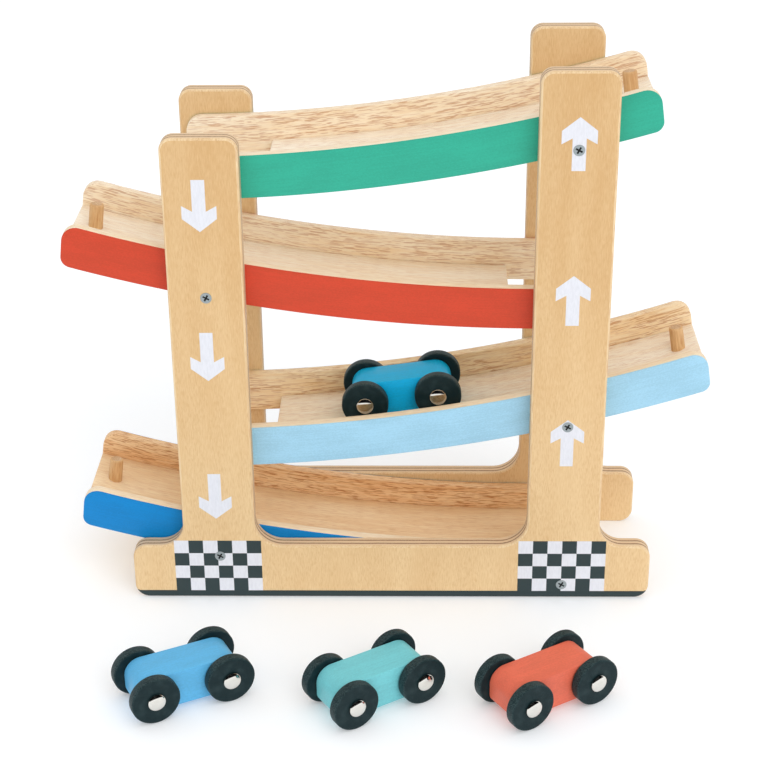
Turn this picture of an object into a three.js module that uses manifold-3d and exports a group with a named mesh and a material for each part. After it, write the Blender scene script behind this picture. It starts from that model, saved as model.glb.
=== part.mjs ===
// Wooden car track: two plywood side frames carry four curved tracks that zigzag down,
// and four small wooden cars with turning wheels go with it.
// Millimetres, +Z up, +X to the right, the front frame faces -Y.
// The origin is on the table, at the middle of the underside of the front frame's base.
import * as THREE from "three";
import { mergeVertices } from "three/addons/utils/BufferGeometryUtils.js";
import Module from "manifold-3d";

const wasm = await Module();
wasm.setup();

// Side frames
const PLY = 9;
const BASE_HEIGHT = 30;
const UPRIGHT_WIDTH = 36;
const UPRIGHT_SPACING = 172;
const FOOT_REACH = 26;
const LEFT_TOP_MARGIN = 12;
const RIGHT_TOP_MARGIN = 19.5;
const TOP_RADIUS = 6;
const FOOT_RADIUS = 7;
const OUTER_FILLET = 12;
const INNER_FILLET = 14;
const FRAME_ARRIS = 0.8;

// Tracks
const CHANNEL_WIDTH = 55;
const RAIL_THICKNESS = 6;
const RAIL_HEIGHT = 20.5;
const RAIL_TOP_CORNER = 7;
const RAIL_BOTTOM_CORNER = 5;
const TRACK_RADIUS = 793;
const FLOOR_THICKNESS = 8;
const FLOOR_CORNER = 1.5;
const LOW_END_REACH = 14;
const DROP_HOLE = 42;
const GLUE_LINE = 0.1;

// Stop pegs
const PEG_DIAMETER = 7;
const PEG_PROUD = 12;
const PEG_DEPTH = 5;
const PEG_INSET = 11.3;
const PEG_BACK = 4;
const PEG_CHAMFER = 0.8;
const PEG_CLEARANCE = 0.2;
const PEG_END_GAP = 0.3;

// Countersunk cross-head wood screws
const SCREW_HEAD = 5.4;
const SCREW_SHANK = 2.8;
const SCREW_GRIP = 10;
const SCREW_POINT = 3;
const SCREW_SINK = 0.2;
const SCREW_CLEARANCE = 0.15;
const CROSS_WIDTH = 0.8;
const CROSS_LENGTH = 3;
const CROSS_DEPTH = 1.1;

// Cars
const BODY_LENGTH = 50.4;
const BODY_WIDTH = 19.5;
const BODY_HEIGHT = 18.3;
const BODY_CLEARANCE = 2.4;
const BODY_TOP_RADIUS = 8;
const BODY_BOTTOM_RADIUS = 5;
const BODY_ARRIS = 1.2;
const WHEELBASE = 36.7;
const WHEEL_DIAMETER = 23.3;
const WHEEL_WIDTH = 5;
const WHEEL_EDGE = 1.1;
const WHEEL_SIDE_PLAY = 0.5;
const AXLE_DIAMETER = 3;
const AXLE_FIT = 0.15;
const WHEEL_BORE_PLAY = 0.3;
const HUB_DIAMETER = 8.6;
const HUB_RISE = 1.9;
const HUB_PLAY = 0.3;

// Where the cars stand: one on the third track, three on the table in front of the frame
const TRACK_CAR_X = 7;
const TRACK_CAR_Y = -1.3;
const ROLL_GAP = 0.3;
const TABLE_CARS = [
  { name: "left_car", colour: 0x62b8e4, x: -95.7, ahead: 84.1, heading: 27.2 },
  { name: "middle_car", colour: 0x6ac4cc, x: -6.9, ahead: 87.2, heading: 33.2 },
  { name: "right_car", colour: 0xd76959, x: 72.6, ahead: 87.4, heading: 32.8 },
];
const TRACK_CAR = { name: "track_car", colour: 0x2f97b5 };

// The four tracks from the top down. A turned track has its high end on the left.
// underside: lowest height of the rails above the table
// sagBeyond: lowest point of the arc, measured outwards from the low-end upright's middle
// highReach: length of the rails past the high-end upright's middle
// openEnd: the floor runs on to the low end instead of stopping at a drop hole
const TRACKS = [
  {
    name: "top",
    colour: 0x41b79c,
    turned: false,
    underside: 210.5,
    sagBeyond: 18.5,
    highReach: 39.4,
    openEnd: false,
  },
  {
    name: "second",
    colour: 0xdc573c,
    turned: true,
    underside: 145.2,
    sagBeyond: -12,
    highReach: 69.3,
    openEnd: false,
  },
  {
    name: "third",
    colour: 0xa5d3ea,
    turned: false,
    underside: 70.5,
    sagBeyond: 18,
    highReach: 69.4,
    openEnd: false,
  },
  {
    name: "bottom",
    colour: 0x0a8ace,
    turned: true,
    underside: 3.5,
    sagBeyond: -9,
    highReach: 70,
    openEnd: true,
  },
];
const CAR_TRACK = TRACKS[2];

// Numbers of flat steps along the curves
const CORNER_STEPS = 4;
const TRACK_STEPS = 22;
const ROUND_SIDES = 14;
const WHEEL_SIDES = 24;
const DOME_STEPS = 3;
const OVERCUT = 1;
const WELD = 1e-5;

// Sizes that follow from the ones above
const upright = UPRIGHT_SPACING / 2;
const trackWidth = CHANNEL_WIDTH + 2 * RAIL_THICKNESS + 2 * GLUE_LINE;
const midDepth = trackWidth / 2 + GLUE_LINE + PLY / 2;
const floorDrop = RAIL_HEIGHT - FLOOR_THICKNESS;
const floorRadius = TRACK_RADIUS + floorDrop;
const slabMiddle = floorRadius + FLOOR_THICKNESS / 2;
const undersideRadius = TRACK_RADIUS + RAIL_HEIGHT;
const wheelRadius = WHEEL_DIAMETER / 2;
const wheelInner = BODY_WIDTH / 2 + WHEEL_SIDE_PLAY;
const hubSeat = wheelInner + WHEEL_WIDTH + HUB_PLAY;

const WOOD = 0xe5c08c;
const PALE_WOOD = 0xdec4a0;
const STEEL = 0x9a9d9c;
const CHROME = 0xd8d8d4;
const TYRE = 0x2c3a3c;

function finish(colour, roughness, metalness) {
  return new THREE.MeshStandardMaterial({ color: colour, roughness, metalness });
}

const finishes = {
  ply: finish(WOOD, 0.6, 0),
  paleWood: finish(PALE_WOOD, 0.6, 0),
  steel: finish(STEEL, 0.35, 1),
  chrome: finish(CHROME, 0.12, 1),
  tyre: finish(TYRE, 0.55, 0),
};

function mesh(name, geometry, material) {
  const piece = new THREE.Mesh(geometry, material);
  piece.name = name;
  return piece;
}

// Closed geometries become solids for cutting, and come back as geometries.
function toSolid(geometry) {
  const bare = geometry.clone();
  bare.deleteAttribute("normal");
  bare.deleteAttribute("uv");
  const merged = mergeVertices(bare, WELD);
  return new wasm.Manifold(new wasm.Mesh({
    numProp: 3,
    vertProperties: new Float32Array(merged.attributes.position.array),
    triVerts: new Uint32Array(merged.index.array),
  }));
}

function toGeometry(solid) {
  const result = solid.getMesh();
  const geometry = new THREE.BufferGeometry();
  const positions = new Float32Array(result.vertProperties);
  geometry.setAttribute("position", new THREE.BufferAttribute(positions, 3));
  geometry.setIndex(new THREE.BufferAttribute(new Uint32Array(result.triVerts), 1));
  return geometry;
}

function cut(geometry, cutters) {
  let solid = toSolid(geometry);
  for (const cutter of cutters) {
    solid = solid.subtract(toSolid(cutter));
  }
  return toGeometry(solid);
}

// Points of an arc about (x, z), angles counted from +X towards +Z.
function arc(x, z, radius, from, to, steps) {
  const curve = new THREE.EllipseCurve(x, z, radius, radius, from, to, to < from, 0);
  return curve.getPoints(steps);
}

// A closed outline from corners [x, z, radius], each rounded by its radius, or sharp where that is 0.
function roundedOutline(corners) {
  const points = [];
  corners.forEach(([x, z, radius], index) => {
    if (radius === 0) {
      points.push(new THREE.Vector2(x, z));
      return;
    }
    const before = corners[(index + corners.length - 1) % corners.length];
    const after = corners[(index + 1) % corners.length];
    const toBefore = new THREE.Vector2(before[0] - x, before[1] - z).normalize();
    const toAfter = new THREE.Vector2(after[0] - x, after[1] - z).normalize();
    const half = Math.acos(toBefore.dot(toAfter)) / 2;
    const middle = toBefore.clone().add(toAfter).normalize().multiplyScalar(radius / Math.sin(half));
    const centre = new THREE.Vector2(x, z).add(middle);
    const reach = radius / Math.tan(half);
    const start = new THREE.Vector2(x, z).addScaledVector(toBefore, reach).sub(centre).angle();
    let sweep = new THREE.Vector2(x, z).addScaledVector(toAfter, reach).sub(centre).angle() - start;
    sweep -= 2 * Math.PI * Math.round(sweep / (2 * Math.PI));
    points.push(...arc(centre.x, centre.y, radius, start, start + sweep, CORNER_STEPS));
  });
  return new THREE.Shape(points);
}

// A curved band between two radii of a track, from lowX up to its slanting high end, with rounded corners.
function bandOutline(layout, inner, outer, lowX, innerCorner, outerCorner) {
  const edge = (radius, corner) => {
    const low = layout.angleAt(lowX, radius);
    const high = layout.angleAt(layout.highX(radius), radius);
    return Array.from({ length: TRACK_STEPS + 1 }, (_, step) => {
      const angle = low + ((high - low) * step) / TRACK_STEPS;
      const isEnd = step === 0 || step === TRACK_STEPS;
      return [
        layout.centre.x + radius * Math.sin(angle),
        layout.centre.y - radius * Math.cos(angle),
        isEnd ? corner : 0,
      ];
    });
  };
  return roundedOutline([...edge(outer, outerCorner), ...edge(inner, innerCorner).reverse()]);
}

// A flat board cut to an outline in the X-Z plane, from frontY backwards.
function board(outline, thickness, frontY, arris) {
  const geometry = new THREE.ExtrudeGeometry(outline, {
    depth: thickness - 2 * arris,
    bevelEnabled: arris > 0,
    bevelThickness: arris,
    bevelSize: arris,
    bevelOffset: -arris,
    bevelSegments: 1,
  });
  geometry.rotateX(Math.PI / 2);
  geometry.translate(0, frontY + thickness - arris, 0);
  return geometry;
}

// A round piece turned about the Y axis from a profile of [radius, y], rising along Y.
function turned(profile, sides) {
  return new THREE.LatheGeometry(profile.map(([radius, y]) => new THREE.Vector2(radius, y)), sides);
}

function rod(radius, from, to, sides) {
  return turned([[0, from], [radius, from], [radius, to], [0, to]], sides);
}

// One track in its own unturned frame: its centre of curvature, its ends, and its peg's place.
// Angles are counted from straight down. The high end is cut square to the chord of the underside.
function trackLayout(track) {
  const centre = new THREE.Vector2(-upright - track.sagBeyond, track.underside + undersideRadius);
  const angleAt = (x, radius) => Math.asin((x - centre.x) / radius);
  const lowEnd = -upright - LOW_END_REACH;
  const highEnd = upright + track.highReach;
  const zAt = (x) => centre.y - Math.sqrt(undersideRadius ** 2 - (x - centre.x) ** 2);
  const slope = Math.atan2(zAt(highEnd) - zAt(lowEnd), highEnd - lowEnd);
  const fromCentre = new THREE.Vector2(highEnd, zAt(highEnd)).sub(centre);
  const along = fromCentre.dot(new THREE.Vector2(-Math.sin(slope), Math.cos(slope)));
  const highX = (radius) => {
    const rise = -along - Math.sqrt(along ** 2 - undersideRadius ** 2 + radius ** 2);
    return highEnd - rise * Math.sin(slope);
  };
  return {
    centre,
    slope,
    angleAt,
    highX,
    lowEnd,
    floorEnd: track.openEnd ? lowEnd : lowEnd + DROP_HOLE,
    pegX: highEnd - PEG_INSET,
    pegY: track.turned ? -PEG_BACK : PEG_BACK,
    screwsAt: track.openEnd ? [upright, -upright] : [upright],
  };
}

function heightAt(layout, x, radius) {
  return layout.centre.y - Math.sqrt(radius ** 2 - (x - layout.centre.x) ** 2);
}

// Every screw of a track in the stand's frame: x and z of its axis, and a name.
function screwPlaces(track) {
  const layout = trackLayout(track);
  const side = track.turned ? -1 : 1;
  return layout.screwsAt.map((x) => ({
    name: track.openEnd ? `${track.name}_${x > 0 ? "high" : "low"}` : track.name,
    x: side * x,
    z: heightAt(layout, x, slabMiddle),
  }));
}

const allScrews = TRACKS.flatMap(screwPlaces);
const screwLength = PLY + GLUE_LINE + RAIL_THICKNESS + GLUE_LINE + SCREW_GRIP;

// A screw's solid or, with a clearance, the hole it sits in, for a board face at y = 0 and the point at +Y.
// headRise: how far the head end stands out of that face
function screwProfile(clearance, headRise) {
  const head = SCREW_HEAD / 2 + clearance;
  const shank = SCREW_SHANK / 2 + clearance;
  const taper = head - shank;
  return [
    [0, -headRise],
    [head, -headRise],
    [head, SCREW_SINK],
    [shank, SCREW_SINK + taper],
    [shank, screwLength - SCREW_POINT + clearance],
    [0, screwLength + clearance],
  ];
}

function screwSolid() {
  const blank = turned(screwProfile(0, -SCREW_SINK / 2), ROUND_SIDES);
  const slot = new THREE.BoxGeometry(CROSS_LENGTH, 2 * CROSS_DEPTH, CROSS_WIDTH);
  slot.translate(0, SCREW_SINK / 2, 0);
  const crossSlot = slot.clone().rotateY(Math.PI / 2);
  return cut(blank, [slot, crossSlot]);
}

// Screw holes along Y for the pieces of the stand. rear: the screws driven in from the back.
function screwHoles(places, rear) {
  const outerFace = trackWidth / 2 + GLUE_LINE + PLY;
  return places.map(({ x, z }) => {
    const hole = turned(screwProfile(SCREW_CLEARANCE, OVERCUT), ROUND_SIDES);
    if (rear) {
      hole.rotateZ(Math.PI);
    }
    return hole.translate(x, rear ? outerFace : -outerFace, z);
  });
}

function frameOutline() {
  const topLayout = trackLayout(TRACKS[0]);
  const inner = upright - UPRIGHT_WIDTH / 2;
  const outer = upright + UPRIGHT_WIDTH / 2;
  const foot = outer + FOOT_REACH;
  const leftTop = heightAt(topLayout, -upright, TRACK_RADIUS) + LEFT_TOP_MARGIN;
  const rightTop = heightAt(topLayout, upright, TRACK_RADIUS) + RIGHT_TOP_MARGIN;
  return roundedOutline([
    [-foot, 0, FOOT_RADIUS],
    [foot, 0, FOOT_RADIUS],
    [foot, BASE_HEIGHT, FOOT_RADIUS],
    [outer, BASE_HEIGHT, OUTER_FILLET],
    [outer, rightTop, TOP_RADIUS],
    [inner, rightTop, TOP_RADIUS],
    [inner, BASE_HEIGHT, INNER_FILLET],
    [-inner, BASE_HEIGHT, INNER_FILLET],
    [-inner, leftTop, TOP_RADIUS],
    [-outer, leftTop, TOP_RADIUS],
    [-outer, BASE_HEIGHT, OUTER_FILLET],
    [-foot, BASE_HEIGHT, FOOT_RADIUS],
  ]);
}

function sideFrame(name, frontY, rear) {
  const blank = board(frameOutline(), PLY, frontY, FRAME_ARRIS);
  return mesh(name, cut(blank, screwHoles(allScrews, rear)), finishes.ply);
}

function screws() {
  const outerFace = trackWidth / 2 + GLUE_LINE + PLY;
  const solid = screwSolid();
  return allScrews.flatMap(({ name, x, z }) => {
    const front = mesh(`front_screw_${name}`, solid, finishes.steel);
    front.position.set(x, -outerFace, z);
    const rear = mesh(`rear_screw_${name}`, solid, finishes.steel);
    rear.position.set(x, outerFace, z);
    rear.rotation.z = Math.PI;
    return [front, rear];
  });
}

// The stop peg and the blind hole it is glued into, along Y before they are stood up.
function pegSolid() {
  const radius = PEG_DIAMETER / 2;
  return turned([
    [0, -PEG_DEPTH],
    [radius, -PEG_DEPTH],
    [radius, PEG_PROUD - PEG_CHAMFER],
    [radius - PEG_CHAMFER, PEG_PROUD],
    [0, PEG_PROUD],
  ], ROUND_SIDES);
}

// Stands a piece made along Y at the peg's place on a track's floor, square to the track's chord.
function standAsPeg(geometry, layout) {
  geometry.rotateX(Math.PI / 2);
  geometry.rotateY(-layout.slope);
  geometry.translate(layout.pegX, layout.pegY, heightAt(layout, layout.pegX, floorRadius));
  return geometry;
}

function trackGroup(track) {
  const layout = trackLayout(track);
  const group = new THREE.Group();
  group.rotation.z = track.turned ? Math.PI : 0;
  const places = layout.screwsAt.map((x) => ({ x, z: heightAt(layout, x, slabMiddle) }));
  const frontHoles = screwHoles(places, false);
  const rearHoles = screwHoles(places, true);
  const railShape = bandOutline(
    layout, TRACK_RADIUS, undersideRadius, layout.lowEnd, RAIL_TOP_CORNER, RAIL_BOTTOM_CORNER,
  );
  const paint = finish(track.colour, 0.4, 0);
  const rails = [
    { side: track.turned ? "rear" : "front", frontY: -trackWidth / 2, holes: frontHoles },
    { side: track.turned ? "front" : "rear", frontY: trackWidth / 2 - RAIL_THICKNESS, holes: rearHoles },
  ];
  for (const { side, frontY, holes } of rails) {
    const rail = cut(board(railShape, RAIL_THICKNESS, frontY, 0), holes);
    group.add(mesh(`${track.name}_${side}_rail`, rail, paint));
  }
  const slabShape = bandOutline(
    layout, floorRadius, undersideRadius, layout.floorEnd, FLOOR_CORNER, FLOOR_CORNER,
  );
  const slab = board(slabShape, CHANNEL_WIDTH, -CHANNEL_WIDTH / 2, 0);
  const socket = rod(PEG_DIAMETER / 2 + PEG_CLEARANCE, -PEG_DEPTH - PEG_END_GAP, OVERCUT, ROUND_SIDES);
  const cutters = [...frontHoles, ...rearHoles, standAsPeg(socket, layout)];
  group.add(mesh(`${track.name}_floor`, cut(slab, cutters), finishes.paleWood));
  const peg = standAsPeg(pegSolid(), layout);
  group.add(mesh(`${track.name}_stop_peg`, peg, finishes.paleWood));
  return group;
}

// A car in its own frame: nose along +X, the table at z = 0 under its middle.
function carBody() {
  const half = BODY_LENGTH / 2;
  const top = BODY_CLEARANCE + BODY_HEIGHT;
  const outline = roundedOutline([
    [-half, BODY_CLEARANCE, BODY_BOTTOM_RADIUS],
    [half, BODY_CLEARANCE, BODY_BOTTOM_RADIUS],
    [half, top, BODY_TOP_RADIUS],
    [-half, top, BODY_TOP_RADIUS],
  ]);
  const blank = board(outline, BODY_WIDTH, -BODY_WIDTH / 2, BODY_ARRIS);
  const boreReach = BODY_WIDTH / 2 + OVERCUT;
  const bores = [-WHEELBASE / 2, WHEELBASE / 2].map((x) => {
    const bore = rod(AXLE_DIAMETER / 2 + AXLE_FIT, -boreReach, boreReach, ROUND_SIDES);
    return bore.translate(x, 0, wheelRadius);
  });
  return cut(blank, bores);
}

// An axle with a domed chrome head at each end.
function axleSolid() {
  const shaft = AXLE_DIAMETER / 2;
  const hub = HUB_DIAMETER / 2;
  const dome = Array.from({ length: DOME_STEPS + 1 }, (_, step) => {
    const angle = (step / DOME_STEPS) * (Math.PI / 2);
    return [hub * Math.cos(angle), hubSeat + HUB_RISE * Math.sin(angle)];
  });
  dome[DOME_STEPS][0] = 0;
  const farEnd = [[shaft, hubSeat], ...dome];
  const nearEnd = farEnd.map(([radius, y]) => [radius, -y]).reverse();
  return turned([...nearEnd, ...farEnd], ROUND_SIDES);
}

// A wheel centred on the origin, its axle along Y, with its four edges eased.
function wheelSolid() {
  const bore = AXLE_DIAMETER / 2 + WHEEL_BORE_PLAY;
  const half = WHEEL_WIDTH / 2;
  return turned([
    [bore, -half],
    [wheelRadius - WHEEL_EDGE, -half],
    [wheelRadius, -half + WHEEL_EDGE],
    [wheelRadius, half - WHEEL_EDGE],
    [wheelRadius - WHEEL_EDGE, half],
    [bore, half],
    [bore, -half],
  ], WHEEL_SIDES);
}

function carGroup({ name, colour }) {
  const group = new THREE.Group();
  const body = carBody();
  const axle = axleSolid();
  const wheel = wheelSolid();
  group.add(mesh(`${name}_body`, body, finish(colour, 0.35, 0)));
  for (const [end, x] of [["front", WHEELBASE / 2], ["rear", -WHEELBASE / 2]]) {
    const pin = mesh(`${name}_${end}_axle`, axle, finishes.chrome);
    pin.position.set(x, 0, wheelRadius);
    group.add(pin);
    for (const [hand, side] of [["left", 1], ["right", -1]]) {
      const tyre = mesh(`${name}_${end}_${hand}_wheel`, wheel, finishes.tyre);
      tyre.position.set(x, side * (wheelInner + WHEEL_WIDTH / 2), wheelRadius);
      group.add(tyre);
    }
  }
  return group;
}

function tableCar(spec) {
  const group = carGroup(spec);
  group.position.set(spec.x, -PLY / 2 - spec.ahead, 0);
  group.rotation.z = THREE.MathUtils.degToRad(spec.heading);
  return group;
}

// The car on the third track: both axles keep their wheels just off the curved floor.
function trackCar() {
  const { centre } = trackLayout(CAR_TRACK);
  const angle = Math.asin((TRACK_CAR_X - centre.x) / floorRadius);
  const axlePath = floorRadius - ROLL_GAP - wheelRadius;
  const reach = Math.sqrt(axlePath ** 2 - (WHEELBASE / 2) ** 2) + wheelRadius;
  const group = carGroup(TRACK_CAR);
  group.position.set(centre.x + reach * Math.sin(angle), TRACK_CAR_Y, centre.y - reach * Math.cos(angle));
  group.rotation.y = -angle;
  return group;
}

const stand = new THREE.Group();
stand.position.y = midDepth;
stand.add(sideFrame("front_frame", -trackWidth / 2 - GLUE_LINE - PLY, false));
stand.add(sideFrame("rear_frame", trackWidth / 2 + GLUE_LINE, true));
stand.add(...TRACKS.map(trackGroup), ...screws(), trackCar());

const carTrack = new THREE.Group();
carTrack.add(stand, ...TABLE_CARS.map(tableCar));

export default carTrack;
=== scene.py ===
"""Looks of a wooden zigzag car track with its four toy cars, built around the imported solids.

Metres, +Z up, +X to the right. The front frame's printed face looks along -Y.
"""

import logging
import math
from collections.abc import Callable, Sequence
from dataclasses import dataclass, field
from enum import Enum
from functools import cache

import bmesh
import bpy
from mathutils import Matrix, Vector


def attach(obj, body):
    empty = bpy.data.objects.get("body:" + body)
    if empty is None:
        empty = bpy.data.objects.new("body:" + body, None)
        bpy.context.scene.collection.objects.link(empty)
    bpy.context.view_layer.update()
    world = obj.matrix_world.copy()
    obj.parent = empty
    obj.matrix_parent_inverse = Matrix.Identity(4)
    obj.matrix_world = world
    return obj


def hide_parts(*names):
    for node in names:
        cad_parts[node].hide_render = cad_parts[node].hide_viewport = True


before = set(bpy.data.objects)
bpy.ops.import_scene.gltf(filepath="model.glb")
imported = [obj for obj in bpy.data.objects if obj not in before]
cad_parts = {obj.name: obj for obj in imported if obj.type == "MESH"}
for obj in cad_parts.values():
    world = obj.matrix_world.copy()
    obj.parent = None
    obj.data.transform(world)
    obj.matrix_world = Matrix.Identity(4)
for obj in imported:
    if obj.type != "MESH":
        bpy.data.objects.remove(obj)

LOG = logging.getLogger("car_track")
MM = 0.001
GRAIN = "grain"
PRINT_THICKNESS = 0.04 * MM
PRINT_SINK = 0.02 * MM
SMOOTH_ANGLE = math.radians(32)
TOLERANCE = 0.01 * MM
MERGE_DISTANCE = 0.001 * MM
SHARPEST_MITRE = 0.3
NOISE_RANGE = (0.3, 0.7)

Colour = tuple[int, int, int]
Pair = tuple[float, float]
Point = tuple[float, float]
Triple = tuple[float, float, float]
Grain = Callable[[Vector], Triple]
Material = bpy.types.Material
Mesh = bpy.types.Mesh
Piece = bpy.types.Object
Shape = bmesh.types.BMesh
Socket = bpy.types.NodeSocket


class Side(Enum):
    """The two long sides of the stand; the value is the direction of the outer face along Y."""

    FRONT = -1
    REAR = 1

    @property
    def label(self) -> str:
        """Lower-case word for piece names."""
        return self.name.lower()


class Axis(Enum):
    """Which way an arrow points; the value is its direction along Z."""

    UP = 1
    DOWN = -1


def linear(colour: Colour) -> tuple[float, float, float, float]:
    """Turns an sRGB colour of 0 to 255 into linear RGBA.

    Args:
        colour: Red, green and blue, 0 to 255.

    Returns:
        Linear red, green, blue and an alpha of 1.
    """
    parts = []
    for value in colour:
        part = value / 255
        parts.append(part / 12.92 if part <= 0.04045 else ((part + 0.055) / 1.055) ** 2.4)
    return (parts[0], parts[1], parts[2], 1.0)


def shade(colour: Colour, factor: float) -> Colour:
    """Makes a colour darker or lighter by a plain factor.

    Args:
        colour: Red, green and blue, 0 to 255.
        factor: What each channel is multiplied by.

    Returns:
        The new colour, held inside 0 to 255.
    """
    return tuple(max(0, min(255, round(value * factor))) for value in colour)


class Nodes:
    """Adds nodes to one shader or geometry tree."""

    def __init__(self, tree: bpy.types.NodeTree) -> None:
        """Keeps the tree and removes the nodes it starts with."""
        self.tree = tree
        tree.nodes.clear()

    def add(self, kind: str, inputs: dict | None = None, **settings: object) -> bpy.types.Node:
        """Adds one node.

        Args:
            kind: Blender's node type.
            inputs: Input name or number to a value, or to another node's output.
            **settings: Properties of the node itself.

        Returns:
            The new node.
        """
        node = self.tree.nodes.new(kind)
        for name, value in settings.items():
            setattr(node, name, value)
        for key, value in (inputs or {}).items():
            if isinstance(value, Socket):
                self.tree.links.new(value, node.inputs[key])
            else:
                node.inputs[key].default_value = value
        return node

    def math(self, operation: str, *values: object) -> Socket:
        """Adds a Math node and returns its output."""
        return self.add("ShaderNodeMath", dict(enumerate(values)), operation=operation).outputs[0]

    def seen(self) -> Socket:
        """Returns 1 for rays from the camera, a reflection or glass, and 0 for all others.

        Returns:
            The output that holds it.
        """
        rays = self.add("ShaderNodeLightPath").outputs
        plain = self.math("MAXIMUM", rays["Is Camera Ray"], rays["Is Glossy Ray"])
        return self.math("MAXIMUM", plain, rays["Is Transmission Ray"])


class MaterialNodes(Nodes):
    """One node material around a Principled shader."""

    def __init__(self, name: str, **sockets: object) -> None:
        """Makes the material and its shader.

        Args:
            name: The material's name.
            **sockets: Constant values for the shader's sockets, with _ for a space.
        """
        self.material = bpy.data.materials.new(name)
        self.material.use_nodes = True
        super().__init__(self.material.node_tree)
        values = {name.replace("_", " "): value for name, value in sockets.items()}
        self.shader = self.add("ShaderNodeBsdfPrincipled", values)
        self.add("ShaderNodeOutputMaterial", {"Surface": self.shader.outputs[0]})

    def millimetres(self) -> Socket:
        """Reads the piece's own grain coordinates.

        Returns:
            Millimetres along, across and through the grain.
        """
        grain = self.add("ShaderNodeAttribute", attribute_name=GRAIN)
        inputs = {0: grain.outputs["Vector"], "Scale": 1 / MM}
        return self.add("ShaderNodeVectorMath", inputs, operation="SCALE").outputs[0]

    def along_across_through(self, where: Socket) -> list[Socket]:
        """Splits coordinates into their three parts."""
        return list(self.add("ShaderNodeSeparateXYZ", {0: where}).outputs)

    def noise(self, where: Socket, pitch: Triple, detail: float = 3) -> Socket:
        """Adds noise stretched to a pitch.

        Args:
            where: Coordinates in millimetres.
            pitch: Size of one blotch along, across and through, in millimetres.
            detail: Blender's noise detail.

        Returns:
            The noise value, about 0.3 to 0.7.
        """
        scale = [1 / size for size in pitch]
        stretched = self.add("ShaderNodeVectorMath", {0: where, 1: scale}, operation="MULTIPLY")
        inputs = {"Vector": stretched.outputs[0], "Scale": 1.0, "Detail": detail}
        return self.add("ShaderNodeTexNoise", inputs).outputs[0]

    def spread(
        self, value: Socket, low: float, high: float, least: float = 0, most: float = 1
    ) -> Socket:
        """Maps a range of a value onto another range, with a smooth start and end."""
        inputs = {0: value, 1: low, 2: high, 3: least, 4: most}
        return self.add("ShaderNodeMapRange", inputs, interpolation_type="SMOOTHSTEP").outputs[0]

    def mix(self, factor: object, first: object, second: object, blend: str = "MIX") -> Socket:
        """Mixes two colours, each a socket or linear RGBA, and returns the result."""
        inputs = {0: factor, 6: first, 7: second}
        return self.add("ShaderNodeMix", inputs, data_type="RGBA", blend_type=blend).outputs[2]

    def bump(self, height: Socket, depth: float) -> None:
        """Raises the surface.

        Args:
            height: Heights of 0 to 1.
            depth: What they are multiplied by, in millimetres.
        """
        inputs = {"Height": height, "Strength": 1.0, "Distance": depth * MM}
        node = self.add("ShaderNodeBump", inputs)
        self.tree.links.new(node.outputs[0], self.shader.inputs["Normal"])

    def colour(self, socket: Socket) -> None:
        """Feeds the shader's base colour."""
        self.tree.links.new(socket, self.shader.inputs["Base Color"])

    def roughness(self, socket: Socket) -> None:
        """Feeds the shader's roughness."""
        self.tree.links.new(socket, self.shader.inputs["Roughness"])


@dataclass(frozen=True)
class Wood:
    """Bare or clear-lacquered wood with fine fibres, a broad cloudy figure and short dark pores.

    Pitches are in millimetres along, across and through the grain.
    """

    name: str
    light: Colour
    dark: Colour
    pores: float = 0.8
    pore_size: Pair = (6.0, 0.38)
    pore_tint: Colour = (180, 104, 42)
    pore_range: Pair = (0.51, 0.61)
    patch: Triple = (40.0, 6.0, 6.0)
    patch_range: Pair = (0.24, 0.54)
    least_patch: float = 0.25
    fibre: Triple = (16.0, 1.1, 1.1)
    figure: Triple = (70.0, 9.0, 9.0)
    figure_share: float = 0.5
    tone_range: Pair = (0.34, 0.66)
    tones: Pair = (0.0, 1.0)
    aged_along: Pair = (0.0, 1.0)
    aged: float = 0.0
    roughness: float = 0.55
    polish: float = 0.07
    shine: float = 0.35
    fibre_relief: float = 0.4
    relief: float = 0.03

    @cache
    def material(self) -> Material:
        """Builds the wood's node material; painted shade brings it nearer its dark tone along the
        grain.

        Returns:
            The material, made once.
        """
        made = MaterialNodes(self.name, Specular_IOR_Level=self.shine)
        where = made.millimetres()
        fibre = made.noise(where, self.fibre, 4)
        figure = made.noise(where, self.figure, 3)
        share = self.figure_share
        mixed = made.math("MULTIPLY_ADD", figure, share, made.math("MULTIPLY", fibre, 1 - share))
        tone = made.spread(mixed, *self.tone_range, *self.tones)
        # Painted shade: the tone darkens along the grain, which on the side frames runs up the
        # board.
        if self.aged:
            along = made.along_across_through(where)[0]
            tone = made.math("SUBTRACT", tone, made.spread(along, *self.aged_along, 0, self.aged))
        colour = made.mix(tone, linear(self.dark), linear(self.light))
        length, width = self.pore_size
        dashes = made.spread(made.noise(where, (length, width, width), 1), *self.pore_range)
        patch = made.noise(where, self.patch, 2)
        patches = made.spread(patch, *self.patch_range, self.least_patch, 1.0)
        pores = made.math("MULTIPLY", dashes, patches)
        amount = made.math("MULTIPLY", pores, self.pores)
        made.colour(made.mix(amount, colour, linear(self.pore_tint)))
        rough = (self.roughness - self.polish, self.roughness + self.polish)
        made.roughness(made.spread(fibre, *NOISE_RANGE, *rough))
        raised = made.math("MULTIPLY", fibre, self.fibre_relief)
        made.bump(made.math("SUBTRACT", raised, pores), self.relief)
        return made.material


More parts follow.
